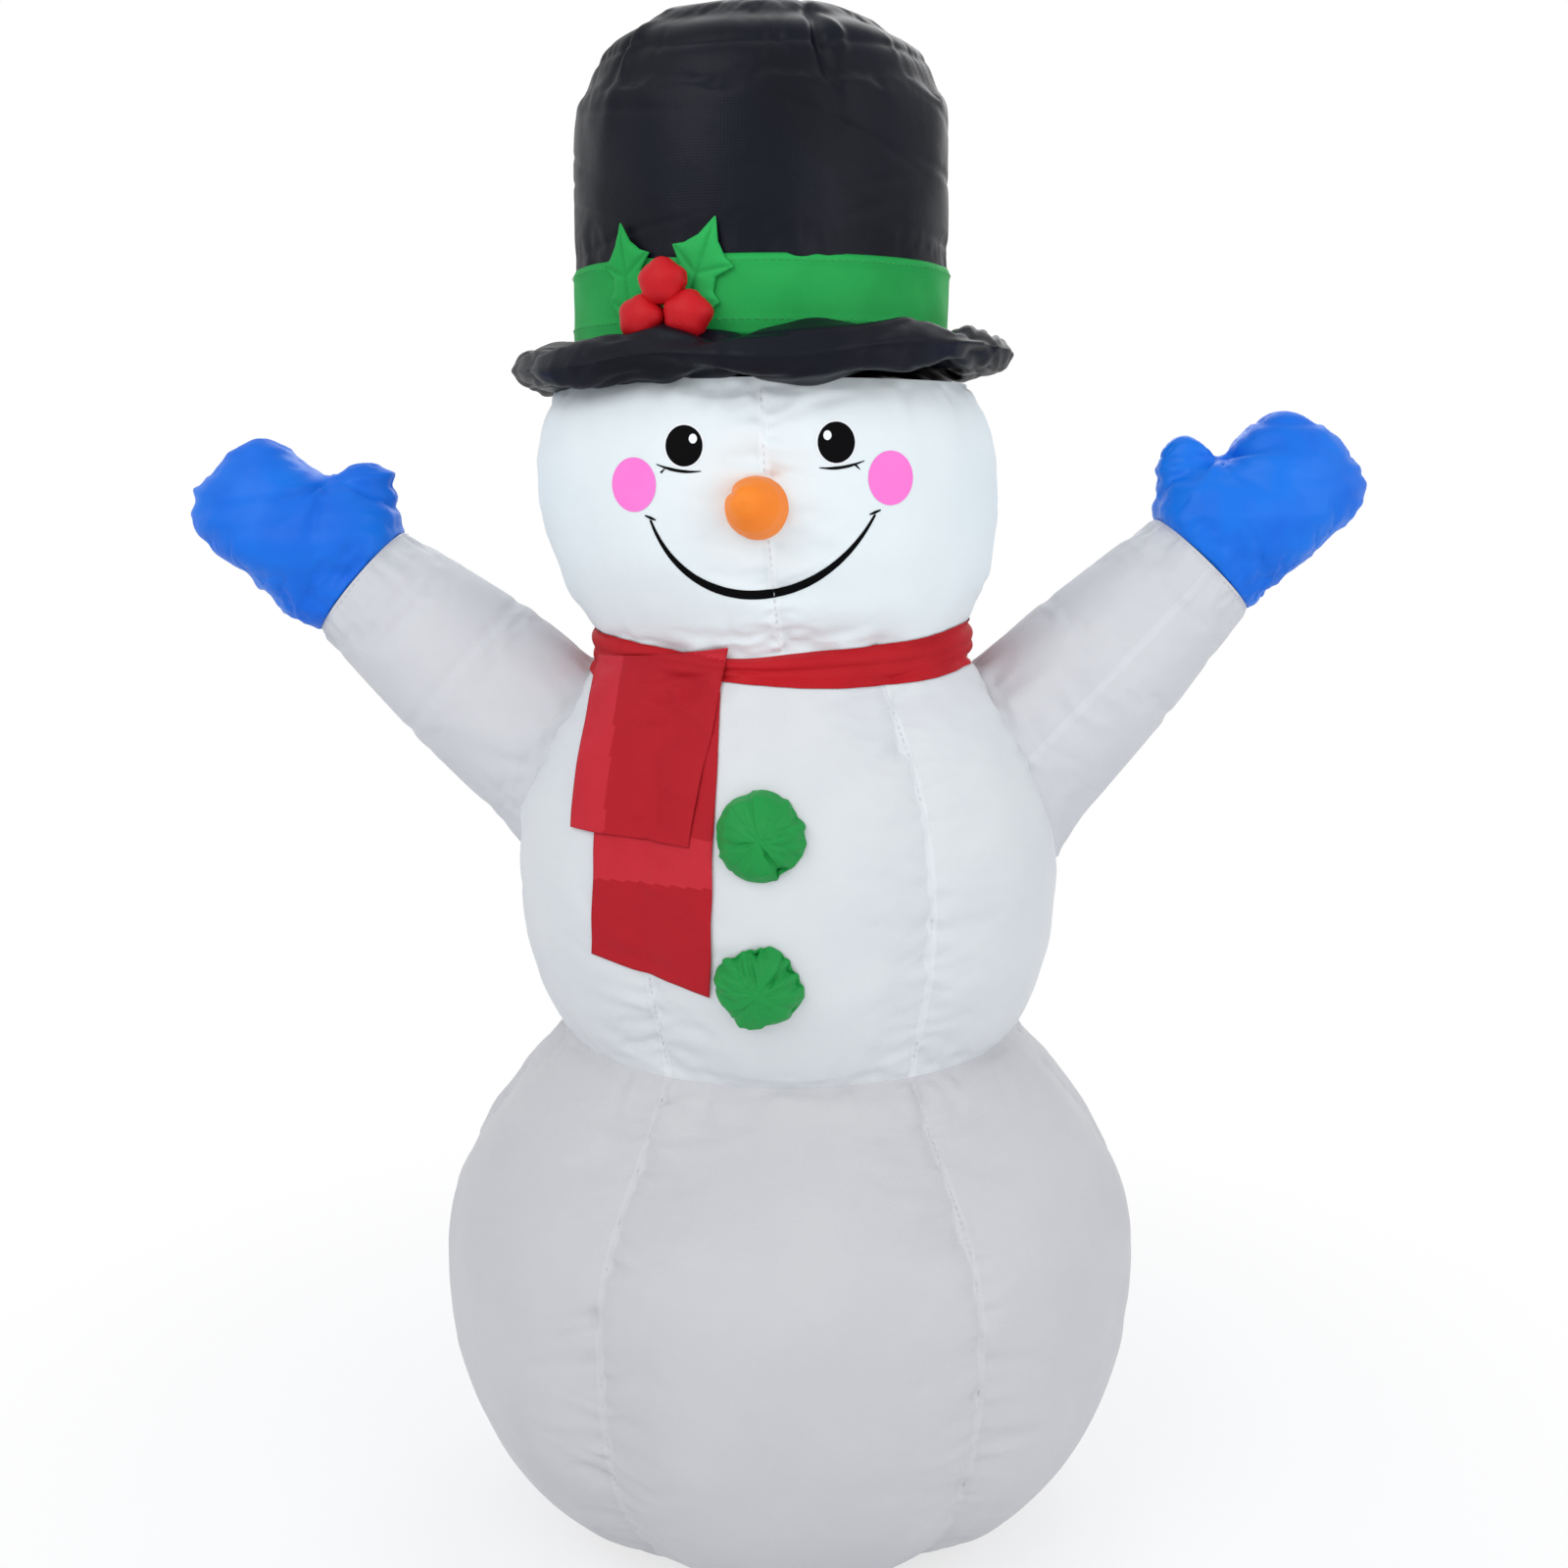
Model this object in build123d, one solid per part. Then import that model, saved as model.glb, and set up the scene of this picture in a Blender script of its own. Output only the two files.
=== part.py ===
"""Inflatable yard snowman: sewn skin, fan, light string, zipper, scarf, hat and tether points.

Millimetres, +Z up, the snowman faces -Y. The origin is the centre of the flat base on the ground.
Angles round the body are measured from +X towards +Y, so the back is at 90 degrees.
"""
from build123d import *
import os
from math import asin, cos, degrees, radians, sin, sqrt

# Cloth
WALL = 1.5            # skin thickness, with its coating and hems averaged in
RIM_WALL = 2.2        # skin measured along a level rim, where it slopes
FOOT_WALL = 5.0       # the same at the ground, where the skin is nearly level
SEAM_DEPTH = 8.0      # seam allowance that stands inside each seam
SEAM_ANGLE = 0.25     # angular thickness of a seam allowance
CLOTH_GAP = 0.5       # room left between loose cloth and what it lies on

# Rims, as radius and height
BASE_RADIUS = 165.0
WAIST_RADIUS, WAIST_HEIGHT = 231.0, 534.0
NECK_RADIUS, NECK_HEIGHT = 178.0, 925.0
HEAD_TOP_RADIUS, HEAD_TOP_HEIGHT = 201.0, 1181.0

# Widest rings, as radius and height
LOWER_RADIUS, LOWER_HEIGHT = 363.0, 318.0
TORSO_RADIUS, TORSO_HEIGHT = 278.0, 710.0
HEAD_RADIUS, HEAD_HEIGHT = 231.0, 1080.0

# Fullness of each half of a section: upright share, outward share and lift at its rim
LOWER_FOOT_FULLNESS = (0.60, 0.62, 0.10)
LOWER_WAIST_FULLNESS = (0.45, 0.45, 0.35)
TORSO_WAIST_FULLNESS = (0.53, 0.57, 0.30)
TORSO_NECK_FULLNESS = (0.50, 0.50, 0.25)
HEAD_NECK_FULLNESS = (0.50, 0.45, 0.30)
HEAD_TOP_FULLNESS = (0.50, 0.60, 0.30)

BODY_GORES = 6        # panels round the lower ball and round the torso
HEAD_GORES = 4

# Hat
HAT_OFFSET = -28.0    # the head leans, so the hat stands to one side of the body's axis
BAND_RADIUS = HEAD_TOP_RADIUS - 20.0     # the band stands inside the head's upper rim
BRIM_RADIUS = BAND_RADIUS + 69.0
BRIM_THICKNESS = 45.0
BAND_HEIGHT = 62.0
CROWN_BULGE = BAND_RADIUS + 3.0
CROWN_TOP_RADIUS = BAND_RADIUS - 15.0
CROWN_HEIGHT = 183.0
DOME_HEIGHT = 53.0

# Arms and mittens; the first value of each pair is the -X side
SHOULDER_INSET = 39.0     # from the torso's widest ring in to the middle of a shoulder
SHOULDER_X, SHOULDER_HEIGHT = TORSO_RADIUS - SHOULDER_INSET, 824.0
ARM_ANGLES = (40.5, 46.0)
ARM_LENGTH = 252.0
ARM_ROOT_INSET = 42.0      # from half the torso's radius in to the root of an arm
ARM_ROOT_RADIUS = TORSO_RADIUS / 2 - ARM_ROOT_INSET
CUFF_RADIUS = 65.0
HAND_RADIUS = 80.0
HAND_REACH, HAND_DROP = 108.0, -14.0
THUMB_RADIUS = 34.0
THUMB_REACH, THUMB_RISE = 39.0, 79.0

# Trim on the front
NOSE_RADIUS, NOSE_LENGTH = 33.0, 62.0
NOSE_X, NOSE_HEIGHT = -13.0, 1066.0
BUTTON_RADIUS, BUTTON_PUFF = 41.0, 26.0
BUTTON_X = -27.0
BUTTON_HEIGHTS = (780.0, 644.0)
LEAF_LENGTH, LEAF_WIDTH, LEAF_THICKNESS = 88.0, 42.0, 5.0
LEAF_ANGLES = (-132.0, -106.0)
LEAF_TILTS = (-16.0, 22.0)
BERRY_RADIUS = 19.0
BERRY_PLACES = ((-119.0, 45.0), (-126.0, 21.0), (-110.0, 21.0))   # angle, height above the brim

# Scarf
WRAP_HALF_HEIGHT, WRAP_LEAST_DEPTH = 22.0, 26.0
WRAP_DEPTH = max(WRAP_LEAST_DEPTH, (TORSO_RADIUS - NECK_RADIUS) / 2 - 24.0)    # reaches over the torso's slope
WRAP_BOTTOM, WRAP_TOP = NECK_HEIGHT - WRAP_HALF_HEIGHT, NECK_HEIGHT + WRAP_HALF_HEIGHT
WRAP_RADIUS = NECK_RADIUS + WRAP_DEPTH
TAIL_THICKNESS = 2.5
SHORT_TAIL_HEM, LONG_TAIL_HEM = 772.0, 640.0
TAIL_CLEARANCE = 2.0
TAIL_FRONT = -90.0    # the tails lie in front of this, clear of the side of the neck
SHORT_TAIL_SPAN = (-204.0, BUTTON_X - BUTTON_RADIUS - TAIL_CLEARANCE)
LONG_TAIL_SPAN = (-186.0, -77.0)

# Fan in the back of the lower ball
FAN_HEIGHT = 110.0
FAN_TILT = 28.0       # its axis points out and this far down
FAN_RADIUS = 60.0
FAN_WALL = 3.0
FAN_INNER, FAN_OUTER = -60.0, 26.0     # ends of the housing along its axis, from the skin
FLANGE_WIDTH, FLANGE_THICKNESS = 10.0, 3.0
SLEEVE_GAP = 3.5      # rubber ring between housing and fabric sleeve
SLEEVE_END = 22.0
CLAMP_WIDTH, CLAMP_THICKNESS = 8.0, 2.0
GRILLE_THICKNESS = 2.0
GRILLE_BAR = 2.4
GRILLE_RINGS = (18.0, 31.0, 44.0)
GRILLE_SPOKES = 6
SCREW_RADIUS, SCREW_HEAD_RADIUS, SCREW_HEAD = 1.5, 2.75, 1.8
SCREW_OFFSET = 6.0    # from the housing's side out to the screws
SCREW_CIRCLE = FAN_RADIUS + SCREW_OFFSET
SCREWS = 4
MOTOR_RADIUS, MOTOR_LENGTH = 20.0, 26.0
STRUT_THICKNESS = 4.0
BOSS_RADIUS, BOSS_LENGTH = 6.0, 4.0
SHAFT_RADIUS, SHAFT_CLEARANCE = 2.0, 0.05
HUB_RADIUS, HUB_LENGTH = 18.0, 20.0
HUB_GAP = 2.0
BLADES, BLADE_THICKNESS, BLADE_PITCH = 7, 1.6, 35.0
BLADE_CLEARANCE = 4.0
BLADE_RADIUS = FAN_RADIUS - FAN_WALL - BLADE_CLEARANCE
JUNCTION_WIDTH, JUNCTION_DEPTH = 22.0, 20.0
GLAND_BORE, GLAND_WALL, GLAND_LENGTH, GLAND_RISE = 2.8, 1.4, 12.0, 3.0

# Zipper round the widest ring of the lower ball
ZIP_ANGLE, ZIP_HALF_SPAN = 150.0, 18.0
ZIP_TAPE = 12.0       # half height of the opening that the tapes fill
ZIP_COIL = 2.5        # half height of the closed coil
ZIP_COIL_PROUD = 0.8
ZIP_START = 4.0       # angle from the opening's end to the slider
SLIDER_HALF_ANGLE, SLIDER_HALF_HEIGHT, SLIDER_THICKNESS = 1.0, 6.0, 2.5
SLIDER_GAP = 0.3
LUG_HEIGHT = 2.5
PULL_PIN = 1.0
PULL_EYE, PULL_LENGTH, PULL_THICKNESS = 2.4, 28.0, 1.6

# Tether points
TETHER_ANGLES = (50.0, 130.0)
RING_WIRE, RING_BEND = 2.0, 18.0
RING_STANDOFF = 5.0
SLEEVE_OUTER, SLEEVE_CLEARANCE = 4.0, 0.3
WEBBING_WIDTH, TAB_HEIGHT = 20.0, 34.0
STRAP_WIDTH, STRAP_THICKNESS = 25.0, 1.6
EYELET_STANDOFF = 25.0    # from the lower ball's widest ring out to an eyelet
STRAP_END = 18.0          # strap beyond an eyelet's centre
EYELET_CENTRE = LOWER_RADIUS + EYELET_STANDOFF
STRAP_REACH = EYELET_CENTRE + STRAP_END
EYELET_BORE, EYELET_WALL, EYELET_FLANGE, EYELET_RISE = 6.0, 2.0, 5.0, 1.0

# Light string
WIRE_RADIUS = 2.0
WIRE_BACK = 150.0     # how far behind the axis the string hangs
LEAD_EXIT = 10.0      # from the inner end of the fan housing to where the string leaves it
LAMP_HEIGHTS = (430.0, 740.0, 1050.0)
SOCKET_RADIUS, SOCKET_HEIGHT = 8.0, 24.0
LENS_RADIUS, LENS_REACH = 6.0, 7.0
TIE_WIDTH, TIE_THICKNESS = 10.0, 1.2

HEAD_LEAN = HAT_OFFSET / (HEAD_TOP_HEIGHT - NECK_HEIGHT)
BRIM_TOP = HEAD_TOP_HEIGHT + BRIM_THICKNESS
BAND_TOP = BRIM_TOP + BAND_HEIGHT
CROWN_TOP = BAND_TOP + CROWN_HEIGHT
FRONT_SEAM = -90.0

# Each section: lower rim, widest ring, upper rim, fullness of each half, skin along the lower rim
LOWER = ((BASE_RADIUS, 0.0), (LOWER_RADIUS, LOWER_HEIGHT), (WAIST_RADIUS, WAIST_HEIGHT),
         LOWER_FOOT_FULLNESS, LOWER_WAIST_FULLNESS, FOOT_WALL)
TORSO = ((WAIST_RADIUS, WAIST_HEIGHT), (TORSO_RADIUS, TORSO_HEIGHT), (NECK_RADIUS, NECK_HEIGHT),
         TORSO_WAIST_FULLNESS, TORSO_NECK_FULLNESS, RIM_WALL)
HEAD = ((NECK_RADIUS, NECK_HEIGHT), (HEAD_RADIUS, HEAD_HEIGHT), (HEAD_TOP_RADIUS, HEAD_TOP_HEIGHT),
        HEAD_NECK_FULLNESS, HEAD_TOP_FULLNESS, RIM_WALL)

parts = {}


# ---------------------------------------------------------------- puffed sections of the body

def control_points(widest, rim, fullness, inset, rim_inset):
    """Four Bezier points from a section's widest ring, where it is upright, to one of its rims."""
    upright, spread, lift = fullness
    rise = rim[1] - widest[1]
    reach = widest[0] - rim[0]
    return [
        (widest[0] - inset, widest[1]),
        (widest[0] - inset, widest[1] + upright * rise),
        (rim[0] - rim_inset + spread * reach, rim[1] - lift * rise),
        (rim[0] - rim_inset, rim[1]),
    ]


def outline(section, inset=0.0):
    """The two curves of a section's side, moved inwards by inset and by more at its sloping rims."""
    foot, widest, top, low_fullness, high_fullness, foot_wall = section
    low = control_points(widest, foot, low_fullness, inset, inset * foot_wall / WALL)
    high = control_points(widest, top, high_fullness, inset, inset * RIM_WALL / WALL)
    return low, high


def radius_at(section, height):
    """Outer radius of a section at one height, by halving along its curve."""
    low, high = outline(section)
    curve = low if height < section[1][1] else high
    start, end = 0.0, 1.0
    for _ in range(40):
        middle = (start + end) / 2
        a, b, c, d = (1 - middle) ** 3, 3 * middle * (1 - middle) ** 2, 3 * middle ** 2 * (1 - middle), middle ** 3
        radius, level = (sum(w * p[i] for w, p in zip((a, b, c, d), curve)) for i in (0, 1))
        if abs(level - section[1][1]) < abs(height - section[1][1]):
            start = middle
        else:
            end = middle
    return radius


def volume(section, inset=0.0):
    """The whole inside of a section as one solid of revolution."""
    low, high = outline(section, inset)
    side = [Bezier(*low), Bezier(*high)]
    ends = [Polyline(low[3], (0, low[3][1]), (0, high[3][1]), high[3])]
    return revolve(Plane.XZ * make_face(side + ends), Axis.Z)


def wall(section, outer=0.0, inner=WALL):
    """Cross-section of a section's skin between two insets."""
    low_out, high_out = outline(section, outer)
    low_in, high_in = outline(section, inner)
    edges = [Bezier(*low_out), Bezier(*high_out), Line(high_out[3], high_in[3])]
    edges += [Bezier(*low_in), Bezier(*high_in), Line(low_in[3], low_out[3])]
    return Plane.XZ * make_face(edges)


def panel(face, start, span):
    """A panel of skin, swept round from a start angle."""
    return Rot(0, 0, start) * revolve(face, Axis.Z, span)


def seam_ribs(section, count, first_seam):
    """Seam allowances standing inside each seam of a section."""
    face = wall(section, WALL, WALL + SEAM_DEPTH)
    step = 360 / count
    return [panel(face, first_seam + i * step - SEAM_ANGLE / 2, SEAM_ANGLE) for i in range(count)]


def lean(shape):
    """Shear a piece of the head sideways above the neck, so that its top meets the hat."""
    shear = Matrix([[1, 0, HEAD_LEAN, -HEAD_LEAN * NECK_HEIGHT], [0, 1, 0, 0], [0, 0, 1, 0]])
    return shape.transform_geometry(shear)


def tube(inner, outer, start, end):
    """A ring about the local Z axis."""
    ring = Circle(outer) - Circle(inner)
    return Pos(0, 0, start) * extrude(ring, end - start)


def rod(radius, start, end):
    """A cylinder about the local Z axis."""
    return Pos(0, 0, start) * extrude(Circle(radius), end - start)


# ---------------------------------------------------------------- arms and mittens

def shoulder(side):
    """Frame at a shoulder: local Z runs out along the arm, local X points up and outwards from it."""
    angle = radians(ARM_ANGLES[0] if side < 0 else ARM_ANGLES[1])
    out = Vector(side * cos(angle), 0, sin(angle))
    up = Vector(-side * sin(angle), 0, cos(angle))
    return Plane(origin=(side * SHOULDER_X, 0, SHOULDER_HEIGHT), x_dir=up, z_dir=out)


def arm_volume(side, inset):
    """The inside of an arm, run on into the torso."""
    taper = (ARM_ROOT_RADIUS - CUFF_RADIUS) / ARM_LENGTH
    overlap = ARM_ROOT_RADIUS / 2
    cone = Cone(ARM_ROOT_RADIUS + taper * overlap - inset, CUFF_RADIUS - inset, ARM_LENGTH + overlap,
                align=(Align.CENTER, Align.CENTER, Align.MAX))
    return shoulder(side) * Pos(0, 0, ARM_LENGTH) * cone


def mitten_volume(side, inset):
    """A mitten: a palm that widens from the cuff into a round hand, and a thumb."""
    hand_tilt = degrees(asin(HAND_DROP / HAND_REACH))
    bottom = (Align.CENTER, Align.CENTER, Align.MIN)
    palm = Rot(0, hand_tilt, 0) * Cone(CUFF_RADIUS - inset, HAND_RADIUS - inset, HAND_REACH, align=bottom)
    hand = Pos(HAND_DROP, 0, HAND_REACH) * Sphere(HAND_RADIUS - inset)
    thumb = Pos(THUMB_RISE, 0, THUMB_REACH) * Sphere(THUMB_RADIUS - inset)
    thumb_root = Pos(0, 0, THUMB_REACH) * Rot(0, 90, 0) * Cone(
        THUMB_RADIUS + 8 - inset, THUMB_RADIUS - inset, THUMB_RISE, align=bottom)
    behind_cuff = Pos(0, 0, -HAND_RADIUS) * Box(4 * HAND_RADIUS, 4 * HAND_RADIUS, 2 * HAND_RADIUS)
    return shoulder(side) * Pos(0, 0, ARM_LENGTH) * ((palm + hand + thumb_root + thumb) - behind_cuff)


torso_volume = volume(TORSO)
arm_holes = [arm_volume(side, WALL) for side in (-1, 1)]
for side, name in ((-1, "right"), (1, "left")):
    parts[f"{name}_arm"] = arm_volume(side, 0) - arm_volume(side, WALL) - torso_volume
    parts[f"{name}_mitten"] = mitten_volume(side, 0) - mitten_volume(side, WALL)


# ---------------------------------------------------------------- skin of the body

fan_surface = radius_at(LOWER, FAN_HEIGHT)
fan_frame = Plane(origin=(0, fan_surface, FAN_HEIGHT), x_dir=(1, 0, 0),
                  z_dir=(0, cos(radians(FAN_TILT)), -sin(radians(FAN_TILT))))
SLEEVE_RADIUS = FAN_RADIUS + SLEEVE_GAP
fan_port = fan_frame * rod(SLEEVE_RADIUS, -3 * SLEEVE_GAP - FAN_RADIUS / 4, SLEEVE_END)
lower_volume = volume(LOWER)

zip_slot = panel(Plane.XZ * Pos(LOWER_RADIUS, LOWER_HEIGHT) * Rectangle(20 * WALL, 2 * ZIP_TAPE),
                 ZIP_ANGLE - ZIP_HALF_SPAN, 2 * ZIP_HALF_SPAN)

parts["base_panel"] = rod(BASE_RADIUS - FOOT_WALL, 0, WALL)
body_step = 360 / BODY_GORES
for index in range(BODY_GORES):
    start = FRONT_SEAM - body_step / 2 + index * body_step
    lower_gore = panel(wall(LOWER), start, body_step)
    parts[f"lower_gore_{index + 1}"] = lower_gore - fan_port - zip_slot
    torso_gore = panel(wall(TORSO), start, body_step)
    parts[f"torso_gore_{index + 1}"] = torso_gore - arm_holes
head_step = 360 / HEAD_GORES
for index in range(HEAD_GORES):
    head_gore = panel(wall(HEAD), FRONT_SEAM + index * head_step, head_step)
    parts[f"head_gore_{index + 1}"] = lean(head_gore)

first_seam = FRONT_SEAM - body_step / 2
lower_ribs = [rib - parts["base_panel"] for rib in seam_ribs(LOWER, BODY_GORES, first_seam)]
parts["lower_seam_allowances"] = Compound([solid for rib in lower_ribs for solid in rib.solids()])
torso_ribs = [rib - arm_holes for rib in seam_ribs(TORSO, BODY_GORES, first_seam)]
parts["torso_seam_allowances"] = Compound([solid for rib in torso_ribs for solid in rib.solids()])
parts["head_seam_allowances"] = Compound([lean(rib) for rib in seam_ribs(HEAD, HEAD_GORES, FRONT_SEAM)])


# ---------------------------------------------------------------- hat

hat = Pos(HAT_OFFSET, 0, 0)


def brim_face(inset):
    """Half section of the puffed brim, from the band's foot out to its rounded edge."""
    low, high = HEAD_TOP_HEIGHT + inset, BRIM_TOP - inset
    inner, outer = BAND_RADIUS - WALL + inset, BRIM_RADIUS - inset
    edge = ThreePointArc((outer - BRIM_THICKNESS / 2, low), (outer, (low + high) / 2),
                         (outer - BRIM_THICKNESS / 2, high))
    sides = Polyline((outer - BRIM_THICKNESS / 2, high), (inner, high), (inner, low),
                     (outer - BRIM_THICKNESS / 2, low))
    return Plane.XZ * make_face([edge, sides])


def shell_face(points, shift):
    """A strip of cloth between a Bezier line and the same line moved by shift."""
    moved = [(r + shift[0], z + shift[1]) for r, z in points]
    return Plane.XZ * make_face([Bezier(*points), Line(points[-1], moved[-1]),
                                 Bezier(*moved), Line(moved[0], points[0])])


band_side = [(BAND_RADIUS, BRIM_TOP), (BAND_RADIUS + WALL, BRIM_TOP + BAND_HEIGHT / 2), (BAND_RADIUS, BAND_TOP)]
crown_side = [(BAND_RADIUS, BAND_TOP), (CROWN_BULGE, BAND_TOP + 0.4 * CROWN_HEIGHT),
              (CROWN_BULGE, BAND_TOP + 0.7 * CROWN_HEIGHT), (CROWN_TOP_RADIUS, CROWN_TOP)]
dome = [(CROWN_TOP_RADIUS, CROWN_TOP), (CROWN_TOP_RADIUS - 26, CROWN_TOP + DOME_HEIGHT * 0.7),
        (CROWN_TOP_RADIUS / 2, CROWN_TOP + DOME_HEIGHT), (0, CROWN_TOP + DOME_HEIGHT)]
dome_inside = [(CROWN_TOP_RADIUS - RIM_WALL, CROWN_TOP), (dome[1][0] - WALL, dome[1][1] - WALL),
               (dome[2][0], dome[2][1] - WALL), (0, dome[3][1] - WALL)]
dome_face = make_face([Bezier(*dome), Line(dome[3], dome_inside[3]), Bezier(*dome_inside),
                       Line(dome_inside[0], dome[0])])
parts["hat_brim"] = hat * (revolve(brim_face(0), Axis.Z) - revolve(brim_face(WALL), Axis.Z))
parts["hat_band"] = hat * revolve(shell_face(band_side, (-WALL, 0)), Axis.Z)
parts["hat_crown"] = hat * revolve(shell_face(crown_side, (-WALL, 0)), Axis.Z)
parts["hat_top"] = hat * revolve(Plane.XZ * dome_face, Axis.Z)


def on_band(angle, height, standoff):
    """Frame on the hat band: local Z points out, local Y points up."""
    direction = Vector(cos(radians(angle)), sin(radians(angle)), 0)
    place = Vector(HAT_OFFSET, 0, height) + direction * (BAND_RADIUS + WALL + standoff)
    return Plane(origin=place, x_dir=Vector(0, 0, 1).cross(direction), z_dir=direction)


leaf_top, leaf_side = LEAF_LENGTH / 2, LEAF_WIDTH / 2
leaf_outline = make_face([ThreePointArc((0, -leaf_top), (leaf_side, 0), (0, leaf_top)),
                          ThreePointArc((0, leaf_top), (-leaf_side, 0), (0, -leaf_top))])
leaf_plate = extrude(leaf_outline, LEAF_THICKNESS)
leaf_height = BRIM_TOP + LEAF_LENGTH / 2
for name, angle, tilt in zip(("right", "left"), LEAF_ANGLES, LEAF_TILTS):
    parts[f"holly_leaf_{name}"] = on_band(angle, leaf_height, 0) * Rot(0, 0, -tilt) * leaf_plate
berries = [on_band(angle, BRIM_TOP + rise, BERRY_RADIUS + LEAF_THICKNESS + CLOTH_GAP) * Sphere(BERRY_RADIUS)
           for angle, rise in BERRY_PLACES]
parts["holly_berries"] = Compound(berries)


# ---------------------------------------------------------------- nose and buttons

def puff(radius, height, point):
    """A closed puffed cone on the local XY plane; point is how sharp its tip is, 0 to 1."""
    side = Bezier((radius, 0), (radius, height * (1 - point)), (radius * (1 - point), height), (0, height))
    return revolve(Plane.XZ * make_face([side, Polyline((0, height), (0, 0), (radius, 0))]), Axis.Z)


def sewn_puff(radius, height, point):
    """The same as a skin of cloth, run back far enough to be cut to what it is sewn on."""
    depth = radius / 2
    outer = puff(radius, height, point) + rod(radius, -depth, 0)
    inner = puff(radius - WALL, height - WALL, point) + rod(radius - WALL, -depth, 0)
    return outer - inner


def on_front(section, x, height):
    """Frame on the front of a section: local Z points straight out from the body's axis."""
    radius = radius_at(section, height)
    out = Vector(x, -sqrt(radius ** 2 - x ** 2), 0)
    return Plane(origin=out + Vector(0, 0, height), x_dir=Vector(0, 0, 1).cross(out), z_dir=out)


nose = on_front(HEAD, NOSE_X, NOSE_HEIGHT) * sewn_puff(NOSE_RADIUS, NOSE_LENGTH, 0.6)
parts["nose"] = lean(nose - volume(HEAD))
for name, height in zip(("upper", "lower"), BUTTON_HEIGHTS):
    button = on_front(TORSO, BUTTON_X, height) * sewn_puff(BUTTON_RADIUS, BUTTON_PUFF, 0.3)
    parts[f"{name}_button"] = button - torso_volume


# ---------------------------------------------------------------- scarf

wrap_width = WRAP_RADIUS - NECK_RADIUS
wrap_middle, wrap_height = (WRAP_BOTTOM + WRAP_TOP) / 2, WRAP_TOP - WRAP_BOTTOM
wrap_section = Pos(WRAP_RADIUS - wrap_width / 2, wrap_middle) * Rectangle(wrap_width, wrap_height)
wrap = revolve(Plane.XZ * wrap_section, Axis.Z)
arms = [arm_volume(side, 0) for side in (-1, 1)]
parts["scarf_wrap"] = wrap - torso_volume - lean(volume(HEAD)) - arms


def tail(span, hem, layer):
    """A scarf tail: a patch of cloth lying over the chest, in the given layer above the skin."""
    under = CLOTH_GAP + layer * (TAIL_THICKNESS + CLOTH_GAP)
    cloth = volume(TORSO, -under - TAIL_THICKNESS) - volume(TORSO, -under)
    height = WRAP_BOTTOM - CLOTH_GAP - hem
    window = Pos((span[0] + span[1]) / 2, TAIL_FRONT - TORSO_RADIUS / 2, hem + height / 2) * Box(
        span[1] - span[0], TORSO_RADIUS, height)
    return (cloth & window) - arm_volume(-1, -TAIL_CLEARANCE)


parts["scarf_long_tail"] = tail(LONG_TAIL_SPAN, LONG_TAIL_HEM, 0)
parts["scarf_short_tail"] = tail(SHORT_TAIL_SPAN, SHORT_TAIL_HEM, 1)


# ---------------------------------------------------------------- fan

skin_sleeve = fan_frame * tube(SLEEVE_RADIUS, SLEEVE_RADIUS + WALL, -SLEEVE_RADIUS / 4, SLEEVE_END)
parts["fan_sleeve"] = skin_sleeve - lower_volume
clamp_middle = SLEEVE_END - CLAMP_WIDTH
clamp_start, clamp_end = clamp_middle - CLAMP_WIDTH / 2, clamp_middle + CLAMP_WIDTH / 2
clamp_inner = SLEEVE_RADIUS + WALL
clamp_band = tube(clamp_inner, clamp_inner + CLAMP_THICKNESS, clamp_start, clamp_end)
parts["fan_clamp_band"] = fan_frame * clamp_band
parts["fan_seal"] = fan_frame * tube(FAN_RADIUS, SLEEVE_RADIUS, clamp_start - WALL, clamp_end + WALL)

flange_radius = FAN_RADIUS + FLANGE_WIDTH
flange_start = FAN_OUTER - FLANGE_THICKNESS
grille_end = FAN_OUTER + GRILLE_THICKNESS
motor_start = FAN_INNER + STRUT_THICKNESS
motor_end = motor_start + MOTOR_LENGTH
boss_end = motor_end + BOSS_LENGTH
hub_start = boss_end + HUB_GAP
hub_end = hub_start + HUB_LENGTH

screw_places = [Rot(0, 0, 45 + i * 360 / SCREWS) * Pos(SCREW_CIRCLE, 0, 0) for i in range(SCREWS)]
screw_holes = [place * rod(SCREW_RADIUS, flange_start, grille_end) for place in screw_places]
junction_centre = flange_radius + JUNCTION_DEPTH / 2 - FLANGE_THICKNESS
junction = Pos(0, junction_centre, FAN_OUTER - (GLAND_LENGTH + FLANGE_THICKNESS) / 2) * Box(
    JUNCTION_WIDTH, JUNCTION_DEPTH, GLAND_LENGTH + FLANGE_THICKNESS)
gland_place = Pos(0, junction_centre, 0)
gland_start = FAN_OUTER - GLAND_LENGTH + GLAND_RISE

housing = tube(FAN_RADIUS - FAN_WALL, FAN_RADIUS, FAN_INNER, FAN_OUTER)
housing += tube(FAN_RADIUS - FAN_WALL, flange_radius, flange_start, FAN_OUTER)
housing += rod(MOTOR_RADIUS, FAN_INNER, motor_start)
for quarter in range(4):
    strut_length = FAN_RADIUS - FAN_WALL / 2 - MOTOR_RADIUS / 2
    strut = Pos(MOTOR_RADIUS / 2 + strut_length / 2, 0, FAN_INNER + STRUT_THICKNESS / 2) * Box(
        strut_length, STRUT_THICKNESS, STRUT_THICKNESS)
    housing += Rot(0, 0, 90 * quarter) * strut
housing += junction
housing -= gland_place * rod(GLAND_BORE + GLAND_WALL, gland_start, FAN_OUTER + GLAND_RISE)
housing -= screw_holes
parts["fan_housing"] = fan_frame * housing

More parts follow.
